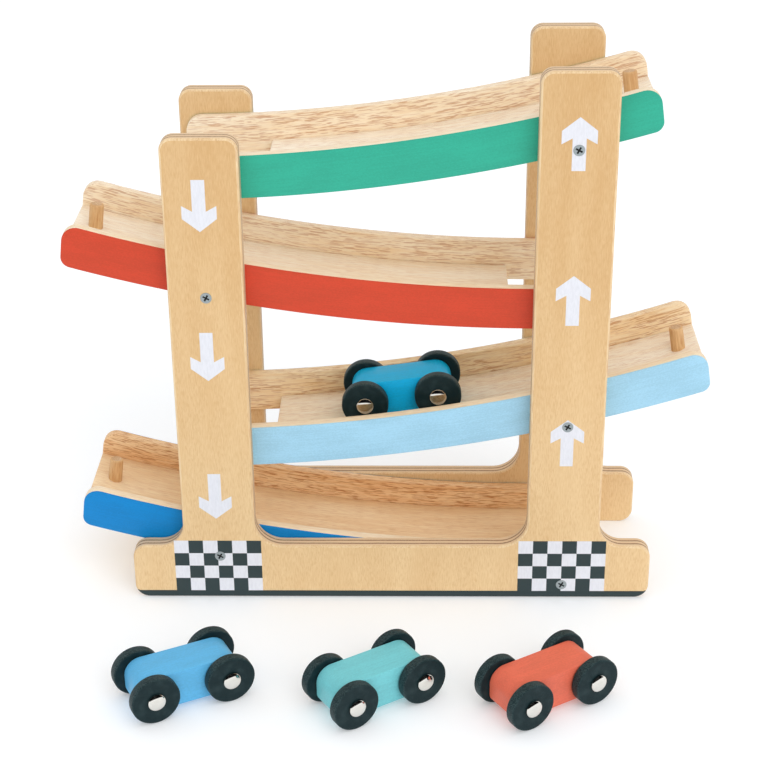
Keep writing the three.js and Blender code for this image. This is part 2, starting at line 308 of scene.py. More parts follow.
@dataclass(frozen=True)
class PlyEdge:
    """Sawn and sanded plywood edge: pale long-grain layers between darker cross-grain ones."""

    name: str
    pale: Colour
    cross: Colour
    pitch: float = 2.9
    waver: float = 0.7
    waver_pitch: Triple = (14.0, 14.0, 9.0)
    cross_range: Pair = (0.26, 0.36)
    fibre_ends: Triple = (0.7, 0.7, 0.35)
    least_cross: float = 0.6
    rough: Pair = (0.6, 0.75)
    shine: float = 0.3
    relief: float = 0.03

    @cache
    def material(self) -> Material:
        """Builds the layered edge's node material.

        Returns:
            The material, made once.
        """
        made = MaterialNodes(self.name, Specular_IOR_Level=self.shine)
        where = made.millimetres()
        depth = made.along_across_through(where)[2]
        waver = made.math("MULTIPLY", made.noise(where, self.waver_pitch, 2), self.waver)
        layer = made.math("FRACT", made.math("DIVIDE", made.math("ADD", depth, waver), self.pitch))
        distance = made.math("ABSOLUTE", made.math("SUBTRACT", layer, 0.5))
        cross = made.spread(distance, *self.cross_range)
        ends = made.noise(where, self.fibre_ends, 2)
        broken = made.spread(ends, *NOISE_RANGE, self.least_cross, 1.0)
        strength = made.math("MULTIPLY", cross, broken)
        made.colour(made.mix(strength, linear(self.pale), linear(self.cross)))
        made.roughness(made.spread(ends, *NOISE_RANGE, *self.rough))
        made.bump(made.math("SUBTRACT", ends, cross), self.relief)
        return made.material


@dataclass(frozen=True)
class Paint:
    """Satin paint on wood: the fibres show through a little, and the film is a little uneven."""

    name: str
    base: Colour
    uneven: float = 0.035
    fibre: Triple = (24.0, 0.7, 0.7)
    cloud: Triple = (26.0, 9.0, 9.0)
    speckle: Triple = (0.9, 0.5, 0.5)
    shares: Triple = (0.25, 0.4, 0.35)
    tone_range: Pair = (0.36, 0.64)
    rough: Pair = (0.36, 0.5)
    shine: float = 0.25
    relief: float = 0.008

    @cache
    def material(self) -> Material:
        """Builds the paint's node material.

        Returns:
            The material, made once.
        """
        made = MaterialNodes(self.name, Specular_IOR_Level=self.shine)
        where = made.millimetres()
        fibre = made.noise(where, self.fibre, 4)
        cloud = made.noise(where, self.cloud, 3)
        speckle = made.noise(where, self.speckle, 1)
        noises = zip((fibre, cloud, speckle), self.shares)
        first, second, third = (made.math("MULTIPLY", noise, share) for noise, share in noises)
        mixed = made.math("ADD", made.math("ADD", first, second), third)
        low, high = (linear(shade(self.base, 1 + change)) for change in (-self.uneven, self.uneven))
        made.colour(made.mix(made.spread(mixed, *self.tone_range), low, high))
        made.roughness(made.spread(cloud, *NOISE_RANGE, *self.rough))
        made.bump(made.math("ADD", fibre, speckle), self.relief)
        return made.material


@dataclass(frozen=True)
class Ink:
    """Printed ink, thin enough that the wood below mottles it; it also makes the painted shadow in
    the screw slots.
    """

    name: str
    base: Colour
    mottle: Triple = (3.0, 0.8, 0.8)
    thin: float = 0.97
    rough: Pair = (0.5, 0.6)
    shine: float = 0.35
    relief: float = 0.004

    @cache
    def material(self) -> Material:
        """Builds the ink's node material.

        Returns:
            The material, made once.
        """
        made = MaterialNodes(self.name, Specular_IOR_Level=self.shine)
        mottle = made.noise(made.millimetres(), self.mottle, 3)
        low = linear(shade(self.base, self.thin))
        made.colour(made.mix(made.spread(mottle, *NOISE_RANGE), low, linear(self.base)))
        made.roughness(made.spread(mottle, *NOISE_RANGE, *self.rough))
        made.bump(mottle, self.relief)
        return made.material


@dataclass(frozen=True)
class Metal:
    """Polished or plated metal with fine handling marks; a dull plating is less metallic."""

    name: str
    base: Colour
    roughness: float
    metallic: float = 1.0
    marks: Triple = (1.6, 0.25, 0.25)
    mark_range: Pair = (0.35, 0.7)
    rubbed: float = 1.6
    haze: Triple = (2.4, 2.4, 2.4)
    hazy: float = 0.93
    relief: float = 0.002

    @cache
    def material(self) -> Material:
        """Builds the metal's node material.

        Returns:
            The material, made once.
        """
        made = MaterialNodes(self.name, Metallic=self.metallic)
        where = made.millimetres()
        marks = made.noise(where, self.marks, 3)
        haze = made.noise(where, self.haze, 2)
        made.colour(made.mix(haze, linear(shade(self.base, self.hazy)), linear(self.base)))
        rough = (self.roughness, self.roughness * self.rubbed)
        made.roughness(made.spread(marks, *self.mark_range, *rough))
        made.bump(marks, self.relief)
        return made.material


@dataclass(frozen=True)
class WheelBlack:
    """Dark stained wheel with a paler tread and rim, partly wear and partly a painted highlight;
    lengths are in millimetres.
    """

    name: str
    face: Colour
    worn: Colour
    radius: float
    wear_width: float = 0.9
    wear_share: float = 0.75
    speckle: Triple = (0.6, 0.6, 0.6)
    speckle_range: Pair = (0.35, 0.65)
    cloud: Triple = (5.0, 5.0, 5.0)
    cloud_range: Pair = (0.4, 0.8)
    cloud_share: float = 0.25
    rough: Pair = (0.45, 0.62)
    shine: float = 0.22
    relief: float = 0.04

    @cache
    def material(self) -> Material:
        """Builds the wheel's node material, paler on the tread and its edges.

        Returns:
            The material, made once.
        """
        made = MaterialNodes(self.name, Specular_IOR_Level=self.shine)
        where = made.millimetres()
        across, up, _ = made.along_across_through(where)
        squares = made.math("ADD", made.math("POWER", across, 2.0), made.math("POWER", up, 2.0))
        edge = made.spread(made.math("SQRT", squares), self.radius - self.wear_width, self.radius)
        speckle = made.noise(where, self.speckle, 3)
        cloud = made.noise(where, self.cloud, 2)
        # The paler tread and rim: partly wear, partly a painted highlight on the rim.
        rim_wear_and_highlight = made.math("MULTIPLY", edge, made.spread(speckle, *self.speckle_range))
        faded = made.spread(cloud, *self.cloud_range, 0, self.cloud_share)
        tone = made.math("ADD", made.math("MULTIPLY", rim_wear_and_highlight, self.wear_share), faded)
        made.colour(made.mix(tone, linear(self.face), linear(self.worn)))
        made.roughness(made.spread(speckle, *NOISE_RANGE, *self.rough))
        made.bump(speckle, self.relief)
        return made.material


def new_piece(name: str, mesh: Mesh) -> Piece:
    """Puts a mesh into the scene as an object at the origin.

    Args:
        name: The object's name.
        mesh: Its mesh.

    Returns:
        The object.
    """
    piece = bpy.data.objects.new(name, mesh)
    bpy.context.scene.collection.objects.link(piece)
    return piece


def plain_mesh(name: str, shape: Shape) -> Mesh:
    """Turns a shape into a mesh whose faces point outwards.

    Args:
        name: The mesh's name.
        shape: The shape; it is freed here.

    Returns:
        The mesh.
    """
    bmesh.ops.recalc_face_normals(shape, faces=shape.faces)
    mesh = bpy.data.meshes.new(name)
    shape.to_mesh(mesh)
    shape.free()
    return mesh


def settle(
    name: str,
    shape: Shape,
    materials: Sequence[Material],
    grain: Grain,
    place: Matrix | None = None,
) -> Piece:
    """Turns a built shape into a finished piece.

    Args:
        name: The piece's name.
        shape: The shape in its own frame; it is freed here.
        materials: Materials in the order of the faces' material numbers.
        grain: Gives the grain coordinates of a point in the shape's own frame.
        place: Where the shape goes in the row frame.

    Returns:
        The object, with its place in its mesh.
    """
    mesh = plain_mesh(name, shape)
    for material in materials:
        mesh.materials.append(material)
    write_grain(mesh, grain)
    if place is not None:
        mesh.transform(place)
    smooth(mesh)
    return new_piece(name, mesh)


def write_grain(mesh: Mesh, grain: Grain) -> None:
    """Stores grain coordinates at every vertex of a mesh.

    Args:
        mesh: The mesh that gets them.
        grain: Gives the grain coordinates of a point.
    """
    layer = mesh.attributes.new(GRAIN, "FLOAT_VECTOR", "POINT")
    for vertex in mesh.vertices:
        layer.data[vertex.index].vector = grain(vertex.co)


def upright_grain(point: Vector) -> Triple:
    """Grain that runs up the stand."""
    return (point.z, point.x, point.y)


def smooth(mesh: Mesh) -> None:
    """Shades a mesh smooth but keeps its real edges sharp.

    Args:
        mesh: The mesh that is shaded.
    """
    for polygon in mesh.polygons:
        polygon.use_smooth = True
    mesh.set_sharp_from_angle(angle=SMOOTH_ANGLE)


def quarter_turn(steps: int) -> list[float]:
    """Angles from zero to a right angle in equal steps."""
    return [math.pi / 2 * step / steps for step in range(steps + 1)]


def arc(centre: Point, radius: float, start: float, end: float, steps: int) -> list[Point]:
    """Points of an arc, with angles counted from +X towards +Z."""
    angles = [start + (end - start) * step / steps for step in range(steps + 1)]
    return [(centre[0] + radius * math.cos(a), centre[1] + radius * math.sin(a)) for a in angles]


def rounded_outline(corners: Sequence[Triple], steps: int) -> list[Point]:
    """Rounds the corners of a closed outline.

    Args:
        corners: x, z and rounding radius of each corner, anticlockwise; 0 leaves it sharp.
        steps: Flat steps in each rounding.

    Returns:
        The outline's points.
    """
    points: list[Point] = []
    for index, (x, z, radius) in enumerate(corners):
        if radius == 0:
            points.append((x, z))
            continue
        before = corners[index - 1]
        after = corners[(index + 1) % len(corners)]
        here = Vector((x, z))
        back = (Vector(before[:2]) - here).normalized()
        ahead = (Vector(after[:2]) - here).normalized()
        half = math.acos(max(-1.0, min(1.0, back.dot(ahead)))) / 2
        centre = here + (back + ahead).normalized() * radius / math.sin(half)
        first = here + back * radius / math.tan(half) - centre
        last = here + ahead * radius / math.tan(half) - centre
        start = math.atan2(first.y, first.x)
        turn = math.remainder(math.atan2(last.y, last.x) - start, math.tau)
        points.extend(arc((centre.x, centre.y), radius, start, start + turn, steps))
    return points


def inset_outline(outline: Sequence[Point], inset: float) -> list[Point]:
    """Moves a closed anticlockwise outline inwards by a small distance.

    Args:
        outline: The outline's points.
        inset: How far it moves.

    Returns:
        The moved points.
    """
    moved = []
    for index, (x, z) in enumerate(outline):
        before = Vector(outline[index - 1])
        after = Vector(outline[(index + 1) % len(outline)])
        here = Vector((x, z))
        first = (here - before).normalized()
        second = (after - here).normalized()
        inward = Vector((-first.y - second.y, first.x + second.x)).normalized()
        reach = inset / max(SHARPEST_MITRE, inward.dot(Vector((-second.y, second.x))))
        moved.append((x + inward.x * reach, z + inward.y * reach))
    return moved


class Face(Enum):
    """Faces of a board by material number."""

    FRONT = 0
    EDGE = 1
    BACK = 2
    FRONT_ARRIS = 3
    BACK_ARRIS = 4


def board(outline: Sequence[Point], front: float, back: float, arris: float, steps: int) -> Shape:
    """A flat board with rounded edges, cut to an outline in the X-Z plane.

    Args:
        outline: The outline, anticlockwise as seen from the front.
        front: y of the front face.
        back: y of the back face.
        arris: Radius of the rounded edges.
        steps: Flat steps in each rounded edge.

    Returns:
        The shape, with material numbers as in Face.
    """
    shape = bmesh.new()
    turns = quarter_turn(steps)
    levels = [(arris * (1 - math.sin(t)), front + arris * (1 - math.cos(t))) for t in turns]
    levels += [(inset, back - (y - front)) for inset, y in reversed(levels)]
    rings = []
    for inset, y in levels:
        rings.append([shape.verts.new((x, y, z)) for x, z in inset_outline(outline, inset)])
    count = len(outline)
    faces = [*[Face.FRONT_ARRIS] * steps, Face.EDGE, *[Face.BACK_ARRIS] * steps]
    for face, ring, following in zip(faces, rings, rings[1:]):
        for index in range(count):
            after = (index + 1) % count
            wall = shape.faces.new((ring[index], ring[after], following[after], following[index]))
            wall.material_index = face.value
    caps = [shape.faces.new(rings[0]), shape.faces.new(rings[-1])]
    caps[0].material_index = Face.FRONT.value
    caps[1].material_index = Face.BACK.value
    for cap in caps:
        cap.normal_update()
    bmesh.ops.triangulate(shape, faces=caps, ngon_method="BEAUTY")
    return shape


def prism(outline: Sequence[Point], front: float, back: float) -> Shape:
    """A sharp-edged block with its outline in the X-Z plane.

    Args:
        outline: The outline's points in order.
        front: y of the front face.
        back: y of the back face.

    Returns:
        The shape.
    """
    shape = bmesh.new()
    rings = [[shape.verts.new((x, y, z)) for x, z in outline] for y in (front, back)]
    for index in range(len(outline)):
        after = (index + 1) % len(outline)
        shape.faces.new((rings[0][index], rings[0][after], rings[1][after], rings[1][index]))
    shape.faces.new(rings[0])
    shape.faces.new(rings[1])
    return shape


def lathe(profile: Sequence[Point], sides: int, closed: bool = False) -> Shape:
    """A round piece turned about the Y axis.

    Args:
        profile: Radius and y of each step, rising along Y; a radius of 0 closes an end.
        sides: Flat sides round the turn.
        closed: Whether the profile's last step joins its first, as round a bore.

    Returns:
        The shape.
    """
    shape = bmesh.new()
    rings = []
    for radius, y in profile:
        if radius == 0:
            rings.append([shape.verts.new((0, y, 0))])
            continue
        angles = [math.tau * side / sides for side in range(sides)]
        points = [(radius * math.cos(a), y, radius * math.sin(a)) for a in angles]
        rings.append([shape.verts.new(point) for point in points])
    pairs = list(zip(rings, rings[1:]))
    if closed:
        pairs.append((rings[-1], rings[0]))
    for ring, following in pairs:
        for side in range(sides):
            after = (side + 1) % sides
            corners = [
                ring[side % len(ring)],
                ring[after % len(ring)],
                following[after % len(following)],
                following[side % len(following)],
            ]
            shape.faces.new(list(dict.fromkeys(corners)))
    return shape


class GeometryTree(Nodes):
    """A geometry node tree with named inputs that is baked into a plain mesh."""

    def __init__(self, name: str, inputs: dict[str, str]) -> None:
        """Makes the tree.

        Args:
            name: The tree's name.
            inputs: Names of its inputs to Blender's socket types.
        """
        tree = bpy.data.node_groups.new(name, "GeometryNodeTree")
        super().__init__(tree)
        side = {"in_out": "INPUT"}
        tree.interface.new_socket("Geometry", socket_type="NodeSocketGeometry", **side)
        self.sockets = {
            label: tree.interface.new_socket(label, socket_type=kind, **side).identifier
            for label, kind in inputs.items()
        }
        tree.interface.new_socket("Geometry", in_out="OUTPUT", socket_type="NodeSocketGeometry")
        self.given = self.add("NodeGroupInput").outputs

    def close(self, geometry: Socket) -> None:
        """Ends the tree with real geometry."""
        real = self.add("GeometryNodeRealizeInstances", {0: geometry})
        self.add("NodeGroupOutput", {0: real.outputs[0]})

    def paint(self, geometry: Socket, material: Socket) -> Socket:
        """Makes a branch real and gives it a material.

        Args:
            geometry: The branch.
            material: A socket that holds the material.

        Returns:
            The branch's finished geometry.
        """
        real = self.add("GeometryNodeRealizeInstances", {0: geometry})
        inputs = {"Geometry": real.outputs[0], "Material": material}
        return self.add("GeometryNodeSetMaterial", inputs).outputs[0]

    def bake(self, name: str, points: Sequence[tuple], values: dict[str, object]) -> Mesh:
        """Runs the tree once.

        Args:
            name: The name of the mesh.
            points: Points that the tree starts from; may be empty.
            values: Input names to values.

        Returns:
            A plain mesh with the tree's materials.
        """
        seed = bpy.data.meshes.new(f"{name}_points")
        seed.from_pydata([tuple(point) for point in points], [], [])
        carrier = new_piece(f"{name}_carrier", seed)
        modifier = carrier.modifiers.new(self.tree.name, "NODES")
        modifier.node_group = self.tree
        for label, value in values.items():
            modifier[self.sockets[label]] = value
        depsgraph = bpy.context.evaluated_depsgraph_get()
        mesh = bpy.data.meshes.new_from_object(carrier.evaluated_get(depsgraph))
        mesh.name = name
        carrier.modifiers.remove(modifier)
        bpy.data.objects.remove(carrier)
        return mesh


@dataclass
class StandSizes:
    """Sizes shared by the stand's pieces, in metres."""

    ply: float = 9 * MM
    channel: float = 55 * MM
    rail: float = 6 * MM
    glue: float = 0.1 * MM
    upright: float = 86 * MM

    @property
    def half_track(self) -> float:
        """Half the width of a track over its rails."""
        return self.channel / 2 + self.rail + self.glue

    @property
    def middle(self) -> float:
        """y of the middle of the tracks."""
        return self.half_track + self.glue + self.ply / 2

    def outer_face(self, side: Side) -> float:
        """y of the outer face of a side frame."""
        return self.middle + side.value * (self.half_track + self.glue + self.ply)


@dataclass
class SideFrame:
    """One U-shaped plywood board of the stand; the rear one has its grain pattern shifted."""

    sizes: StandSizes
    side: Side
    base_height: float = 30 * MM
    upright_width: float = 36 * MM
    foot_reach: float = 26 * MM
    left_top: float = 243.2 * MM
    right_top: float = 273.7 * MM
    top_radius: float = 6 * MM
    foot_radius: float = 7 * MM
    outer_fillet: float = 12 * MM
    inner_fillet: float = 14 * MM
    arris: float = 1.0 * MM
    band: float = 3.8 * MM
    corner_steps: int = 10
    arris_steps: int = 4
    rear_shift: float = 120 * MM
    # The face darkens towards the top of the board: painted shade for the weaker light up there, as
    # the base gets more light from the white floor.
    face: Wood = Wood(
        "ply_face", (237, 206, 158), (209, 165, 109), 0.25, (3.0, 0.5), (202, 154, 98),
        fibre=(4.0, 0.45, 0.45), figure=(70.0, 14.0, 14.0), figure_share=0.45, roughness=0.5,
        tones=(0.58, 0.96), aged_along=(10.0, 270.0), aged=0.5,
    )
    edge: PlyEdge = PlyEdge("ply_edge", (226, 198, 162), (146, 108, 78))
    sanded: Wood = Wood("ply_arris", (240, 214, 172), (228, 194, 146), 0.3)
    dark: Ink = Ink("dark_print", (46, 62, 64))

    def outline(self) -> list[Point]:
        """The board's outline in the X-Z plane.

        Returns:
            Its points, anticlockwise from the left foot.
        """
        inner = self.sizes.upright - self.upright_width / 2
        outer = self.sizes.upright + self.upright_width / 2
        foot = outer + self.foot_reach
        corners = [
            (-foot, 0, self.foot_radius),
            (foot, 0, self.foot_radius),
            (foot, self.base_height, self.foot_radius),
            (outer, self.base_height, self.outer_fillet),
            (outer, self.right_top, self.top_radius),
            (inner, self.right_top, self.top_radius),
            (inner, self.base_height, self.inner_fillet),
            (-inner, self.base_height, self.inner_fillet),
            (-inner, self.left_top, self.top_radius),
            (-outer, self.left_top, self.top_radius),
            (-outer, self.base_height, self.outer_fillet),
            (-foot, self.base_height, self.foot_radius),
        ]
        return rounded_outline(corners, self.corner_steps)

    def build(self) -> list[Piece]:
        """Makes the board and seats it on the stand.

        Returns:
            The board's piece.
        """
        sink = PRINT_SINK + PRINT_THICKNESS
        outer = self.sizes.outer_face(self.side) - self.side.value * sink
        inner = outer - self.side.value * (self.sizes.ply - sink)
        front, back = sorted((outer, inner))
        shape = board(self.outline(), front, back, self.arris, self.arris_steps)
        printed = Face.FRONT_ARRIS if self.side is Side.FRONT else Face.BACK_ARRIS
        for part in shape.faces:
            if part.material_index == printed.value and part.calc_center_median().z < self.band:
                part.material_index = len(Face)
        finishes = [self.face, self.edge, self.face, self.sanded, self.sanded, self.dark]
        shift = self.rear_shift if self.side is Side.REAR else 0.0
        piece = settle(
            f"{self.side.label}_board",
            shape,
            [finish.material() for finish in finishes],
            lambda point: (point.z - shift, point.x + shift, point.y - inner),
        )
        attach(piece, "stand")
        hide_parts(f"{self.side.label}_frame")
        return [piece]


@dataclass
class Track:
    """One curved track: two painted rails and a floor between them.

    The shifts move the grain pattern of its pieces, so that no two look alike.
    """

    sizes: StandSizes
    name: str
    turned: bool
    open_end: bool
    underside: float
    sag_beyond: float
    high_reach: float
    slot: str
    paint: Paint
    rail_wood: Wood
    floor_wood: Wood
    edge_wood: Wood = Wood("rail_edge", (248, 234, 208), (240, 216, 180), 0.2)
    rail_height: float = 20.5 * MM
    rail_top_corner: float = 7 * MM
    rail_bottom_corner: float = 5 * MM
    rail_arris: float = 0.5 * MM
    radius: float = 793 * MM
    floor_thickness: float = 8 * MM
    floor_arris: float = 0.7 * MM
    low_reach: float = 14 * MM
    drop_hole: float = 42 * MM
    peg_inset: float = 11.3 * MM
    peg_back: float = 4 * MM
    steps: int = 72
    corner_steps: int = 8
    arris_steps: int = 3
    rail_shift: float = 3
    rear_shift: float = 400 * MM
    floor_shift: float = 5
    across_shift: float = 1 / 7
    end_tolerance: float = 1e-4

    @property
    def outer_radius(self) -> float:
        """Radius of the underside."""
        return self.radius + self.rail_height

    @property
    def floor_radius(self) -> float:
        """Radius of the running surface."""
        return self.outer_radius - self.floor_thickness

    @property
    def centre(self) -> Point:
        """Centre of curvature, in the track's unturned frame."""
        return (-self.sizes.upright - self.sag_beyond, self.underside + self.outer_radius)

    def angle(self, x: float, radius: float) -> float:
        """Angle from straight down of the point of a circle at x."""
        return math.asin((x - self.centre[0]) / radius)

    def height(self, x: float, radius: float) -> float:
        """Height of a circle about the centre at x."""
        return self.centre[1] - math.sqrt(radius**2 - (x - self.centre[0]) ** 2)

    @property
    def low_end(self) -> float:
        """x of the rails' plumb low end."""
        return -self.sizes.upright - self.low_reach

    @property
    def floor_end(self) -> float:
        """x of the floor's plumb low end."""
        return self.low_end if self.open_end else self.low_end + self.drop_hole

    @property
    def high_end(self) -> float:
        """x of the underside's high end."""
        return self.sizes.upright + self.high_reach

    @property
    def slope(self) -> float:
        """Slope of the underside's chord, which the high end and the peg are square to."""
        low, high = (self.height(x, self.outer_radius) for x in (self.low_end, self.high_end))
        return math.atan2(high - low, self.high_end - self.low_end)

    def high_x(self, radius: float) -> float:
        """x where the slanting high end crosses a circle about the centre.

        Args:
            radius: The circle's radius.

        Returns:
            The crossing's x, in the unturned frame.
        """
        top = self.height(self.high_end, self.outer_radius)
        end = Vector((self.high_end, top)) - Vector(self.centre)
        along = end.dot(Vector((-math.sin(self.slope), math.cos(self.slope))))
        rise = -along - math.sqrt(along**2 - self.outer_radius**2 + radius**2)
        return self.high_end - rise * math.sin(self.slope)

    @property
    def place(self) -> Matrix:
        """From the track's unturned frame to the row frame."""
        turn = Matrix.Rotation(math.pi if self.turned else 0, 4, "Z")
        return Matrix.Translation((0, self.sizes.middle, 0)) @ turn

    @property
    def peg_foot(self) -> Vector:
        """Finds where the stop peg's axis meets the floor.

        Returns:
            The point, in the unturned frame.
        """
        x = self.high_end - self.peg_inset
        y = -self.peg_back if self.turned else self.peg_back
        return Vector((x, y, self.height(x, self.floor_radius)))

    def screw_places(self) -> list[Point]:
        """Finds the screws through the side frames.

        Returns:
            x and z of each screw, in the row frame.
        """
        ends = [self.sizes.upright, -self.sizes.upright] if self.open_end else [self.sizes.upright]
        middle = self.floor_radius + self.floor_thickness / 2
        side = -1 if self.turned else 1
        return [(side * x, self.height(x, middle)) for x in ends]

    def grain(self, shift: float) -> Grain:
        """Grain that follows the curve: along the arc, across the track, through the height.

        Args:
            shift: How far along the grain the piece's own pattern is moved.

        Returns:
            The function that gives a point's grain coordinates.
        """
        x0, z0 = self.centre

        def follow(point: Vector) -> Triple:
            """Grain coordinates of a point in the unturned frame."""
            reach = math.hypot(point.x - x0, point.z - z0)
            along = self.radius * math.atan2(point.x - x0, z0 - point.z)
            return (along + shift, point.y + shift * self.across_shift, reach - self.radius)

        return follow

    def edge(self, radius: float, corner: float) -> list[Triple]:
        """Corners of one long edge of a rail, from the low end to the high one.

        Args:
            radius: The edge's radius of curvature.
            corner: Rounding of its two ends.

        Returns:
            x, z and rounding of each point.
        """
        low = self.angle(self.low_end, radius)
        high = self.angle(self.high_x(radius), radius)
        x0, z0 = self.centre
        points = []
        for step in range(self.steps + 1):
            angle = low + (high - low) * step / self.steps
            rounding = corner if step in (0, self.steps) else 0
            points.append((x0 + radius * math.sin(angle), z0 - radius * math.cos(angle), rounding))
        inside = [point for point in points[1:-1] if self.is_clear(point, points, 2 * corner)]
        return [points[0], *inside, points[-1]]

    @staticmethod
    def is_clear(point: tuple, points: Sequence[tuple], reach: float) -> bool:
        """Whether a point of an edge lies further than a reach from both its ends."""
        return min(abs(point[0] - points[0][0]), abs(point[0] - points[-1][0])) > reach

    def rail_outline(self) -> list[Point]:
        """Outlines a rail: a curved band with a plumb low end and a slanting high end.

        Returns:
            Its points, anticlockwise from the low end, in the unturned frame.
        """
        bottom = self.edge(self.outer_radius, self.rail_bottom_corner)
        top = self.edge(self.radius, self.rail_top_corner)
        return rounded_outline([*bottom, *reversed(top)], self.corner_steps)

    def build_rail(self, side: Side) -> Piece:
        """Makes one rail, painted on its outer face only.

        Args:
            side: The side of the stand that the rail is on.

        Returns:
            The rail's piece.
        """
        own = side.value * (-1 if self.turned else 1)
        outer = own * self.sizes.half_track
        inner = outer - own * self.sizes.rail
        front, back = sorted((outer, inner))
        shape = board(self.rail_outline(), front, back, self.rail_arris, self.arris_steps)
        paint, wood = self.paint.material(), self.rail_wood.material()
        # The rear rails' top edges get the darker wall wood instead of the pale edge wood: painted
        # shade, as these edges lie in shade.
        bare = self.edge_wood.material() if side is Side.FRONT else wood
        faces = [paint, bare, wood, paint, bare] if own < 0 else [wood, bare, paint, bare, paint]
        shift = self.underside * self.rail_shift + (self.rear_shift if side is Side.REAR else 0)
        name = f"{self.name}_{side.label}_rail"
        piece = settle(f"{name}_finished", shape, faces, self.grain(shift), self.place)
        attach(piece, "stand")
        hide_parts(name)
        return piece

    def build_floor(self, tree: "FloorTree") -> Piece:
        """Makes the floor slab from the shared floor tree.

        Args:
            tree: The geometry tree that sweeps floors.

        Returns:
            The floor's piece.
        """
        name = f"{self.name}_floor"
        middle = self.floor_radius + self.floor_thickness / 2
        low = self.angle(self.floor_end, middle)
        high = self.angle(self.high_x(middle), middle)
        values = {
            "Radius": middle,
            "Low Angle": low - math.pi / 2,
            "Sweep": high - low,
            "Thickness": self.floor_thickness,
            "Width": self.sizes.channel,
            "Steps": self.steps,
            "Wood": self.floor_wood.material(),
        }
        mesh = tree.bake(f"{name}_slab", [], values)
        mesh.transform(Matrix.Translation((self.centre[0], 0, self.centre[1])))
        shape = bmesh.new()
        shape.from_mesh(mesh)
        bmesh.ops.remove_doubles(shape, verts=shape.verts, dist=MERGE_DISTANCE)
        self.slant_ends(shape, low, high)
        sharp = [edge for edge in shape.edges if edge.calc_face_angle(0) > SMOOTH_ANGLE]
        bmesh.ops.bevel(
            shape,
            geom=sharp,
            offset=self.floor_arris,
            segments=self.arris_steps,
            profile=0.5,
            affect="EDGES",
        )
        bpy.data.meshes.remove(mesh)
        grain = self.grain(self.underside * self.floor_shift)
        piece = settle(f"{name}_finished", shape, [self.floor_wood.material()], grain, self.place)
        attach(piece, "stand")
        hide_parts(name)
        return piece

    def slant_ends(self, shape: Shape, low: float, high: float) -> None:
        """Turns a floor's square ends into its plumb low end and slanting high end.

        Args:
            shape: The swept floor in the unturned frame.
            low: Angle of its low end.
            high: Angle of its high end.
        """
        x0, z0 = self.centre
        for vertex in shape.verts:
            radius = math.hypot(vertex.co.x - x0, vertex.co.z - z0)
            angle = math.atan2(vertex.co.x - x0, z0 - vertex.co.z)
            if abs(angle - low) < self.end_tolerance:
                vertex.co.x = self.floor_end
            elif abs(angle - high) < self.end_tolerance:
                vertex.co.x = self.high_x(radius)
            vertex.co.z = self.height(vertex.co.x, radius)

    def build(self, tree: "FloorTree") -> list[Piece]:
        """Makes both rails and the floor.

        Args:
            tree: The geometry tree that sweeps floors.

        Returns:
            The track's pieces.
        """
        rails = [self.build_rail(side) for side in Side]
        return [*rails, self.build_floor(tree)]


class FloorTree(GeometryTree):
    """Sweeps a flat slab along an arc in the X-Z plane, about the origin."""

    def __init__(self) -> None:
        """Builds the tree with the arc's and the slab's sizes as inputs."""
        sizes = ("Radius", "Low Angle", "Sweep", "Thickness", "Width")
        kinds = dict.fromkeys(sizes, "NodeSocketFloat")
        kinds |= {"Steps": "NodeSocketInt", "Wood": "NodeSocketMaterial"}
        super().__init__("track_floor", kinds)
        given = self.given
        path = self.add(
            "GeometryNodeCurveArc",
            {
                "Resolution": given["Steps"],
                "Radius": given["Radius"],
                "Start Angle": given["Low Angle"],
                "Sweep Angle": given["Sweep"],
            },
            mode="RADIUS",
        )
        upright = self.add("GeometryNodeSetCurveNormal", {0: path.outputs[0]}, mode="Z_UP")
        section = self.add(
            "GeometryNodeCurvePrimitiveQuadrilateral",
            {"Width": given["Thickness"], "Height": given["Width"]},
            mode="RECTANGLE",
        )
        slab = self.add(
            "GeometryNodeCurveToMesh",
            {"Curve": upright.outputs[0], "Profile Curve": section.outputs[0], "Fill Caps": True},
        )
        stood = self.add(
            "GeometryNodeTransform",
            {"Geometry": slab.outputs[0], "Rotation": (math.pi / 2, 0, 0)},
        )
        self.close(self.paint(stood.outputs[0], given["Wood"]))


class PlaceTree(GeometryTree):
    """Puts a copy of a template piece on every point, each turned by the same angles."""

    def __init__(self) -> None:
        """Builds the tree with the template, its turn and its material as inputs."""
        kinds = {
            "Template": "NodeSocketObject",
            "Turn": "NodeSocketRotation",
            "Finish": "NodeSocketMaterial",
        }
        super().__init__("place_copies", kinds)
        given = self.given
        template = self.add("GeometryNodeObjectInfo", {"Object": given["Template"]})
        copies = self.add(
            "GeometryNodeInstanceOnPoints",
            {
                "Points": given["Geometry"],
                "Instance": template.outputs["Geometry"],
                "Rotation": given["Turn"],
            },
        )
        self.close(self.paint(copies.outputs[0], given["Finish"]))

    def copies(
        self,
        name: str,
        shape: Shape,
        points: Sequence[tuple],
        turn: Triple,
        finish: Material,
    ) -> Mesh:
        """Bakes copies of a shape on points.

        Args:
            name: The name of the mesh.
            shape: The template shape; it is freed here.
            points: Where the copies go.
            turn: Euler angles of every copy.
            finish: The copies' material.

        Returns:
            The plain mesh.
        """
        template = new_piece(f"{name}_template", plain_mesh(f"{name}_template", shape))
        values = {"Template": template, "Turn": turn, "Finish": finish}
        baked = self.bake(name, points, values)
        bpy.data.objects.remove(template)
        return baked


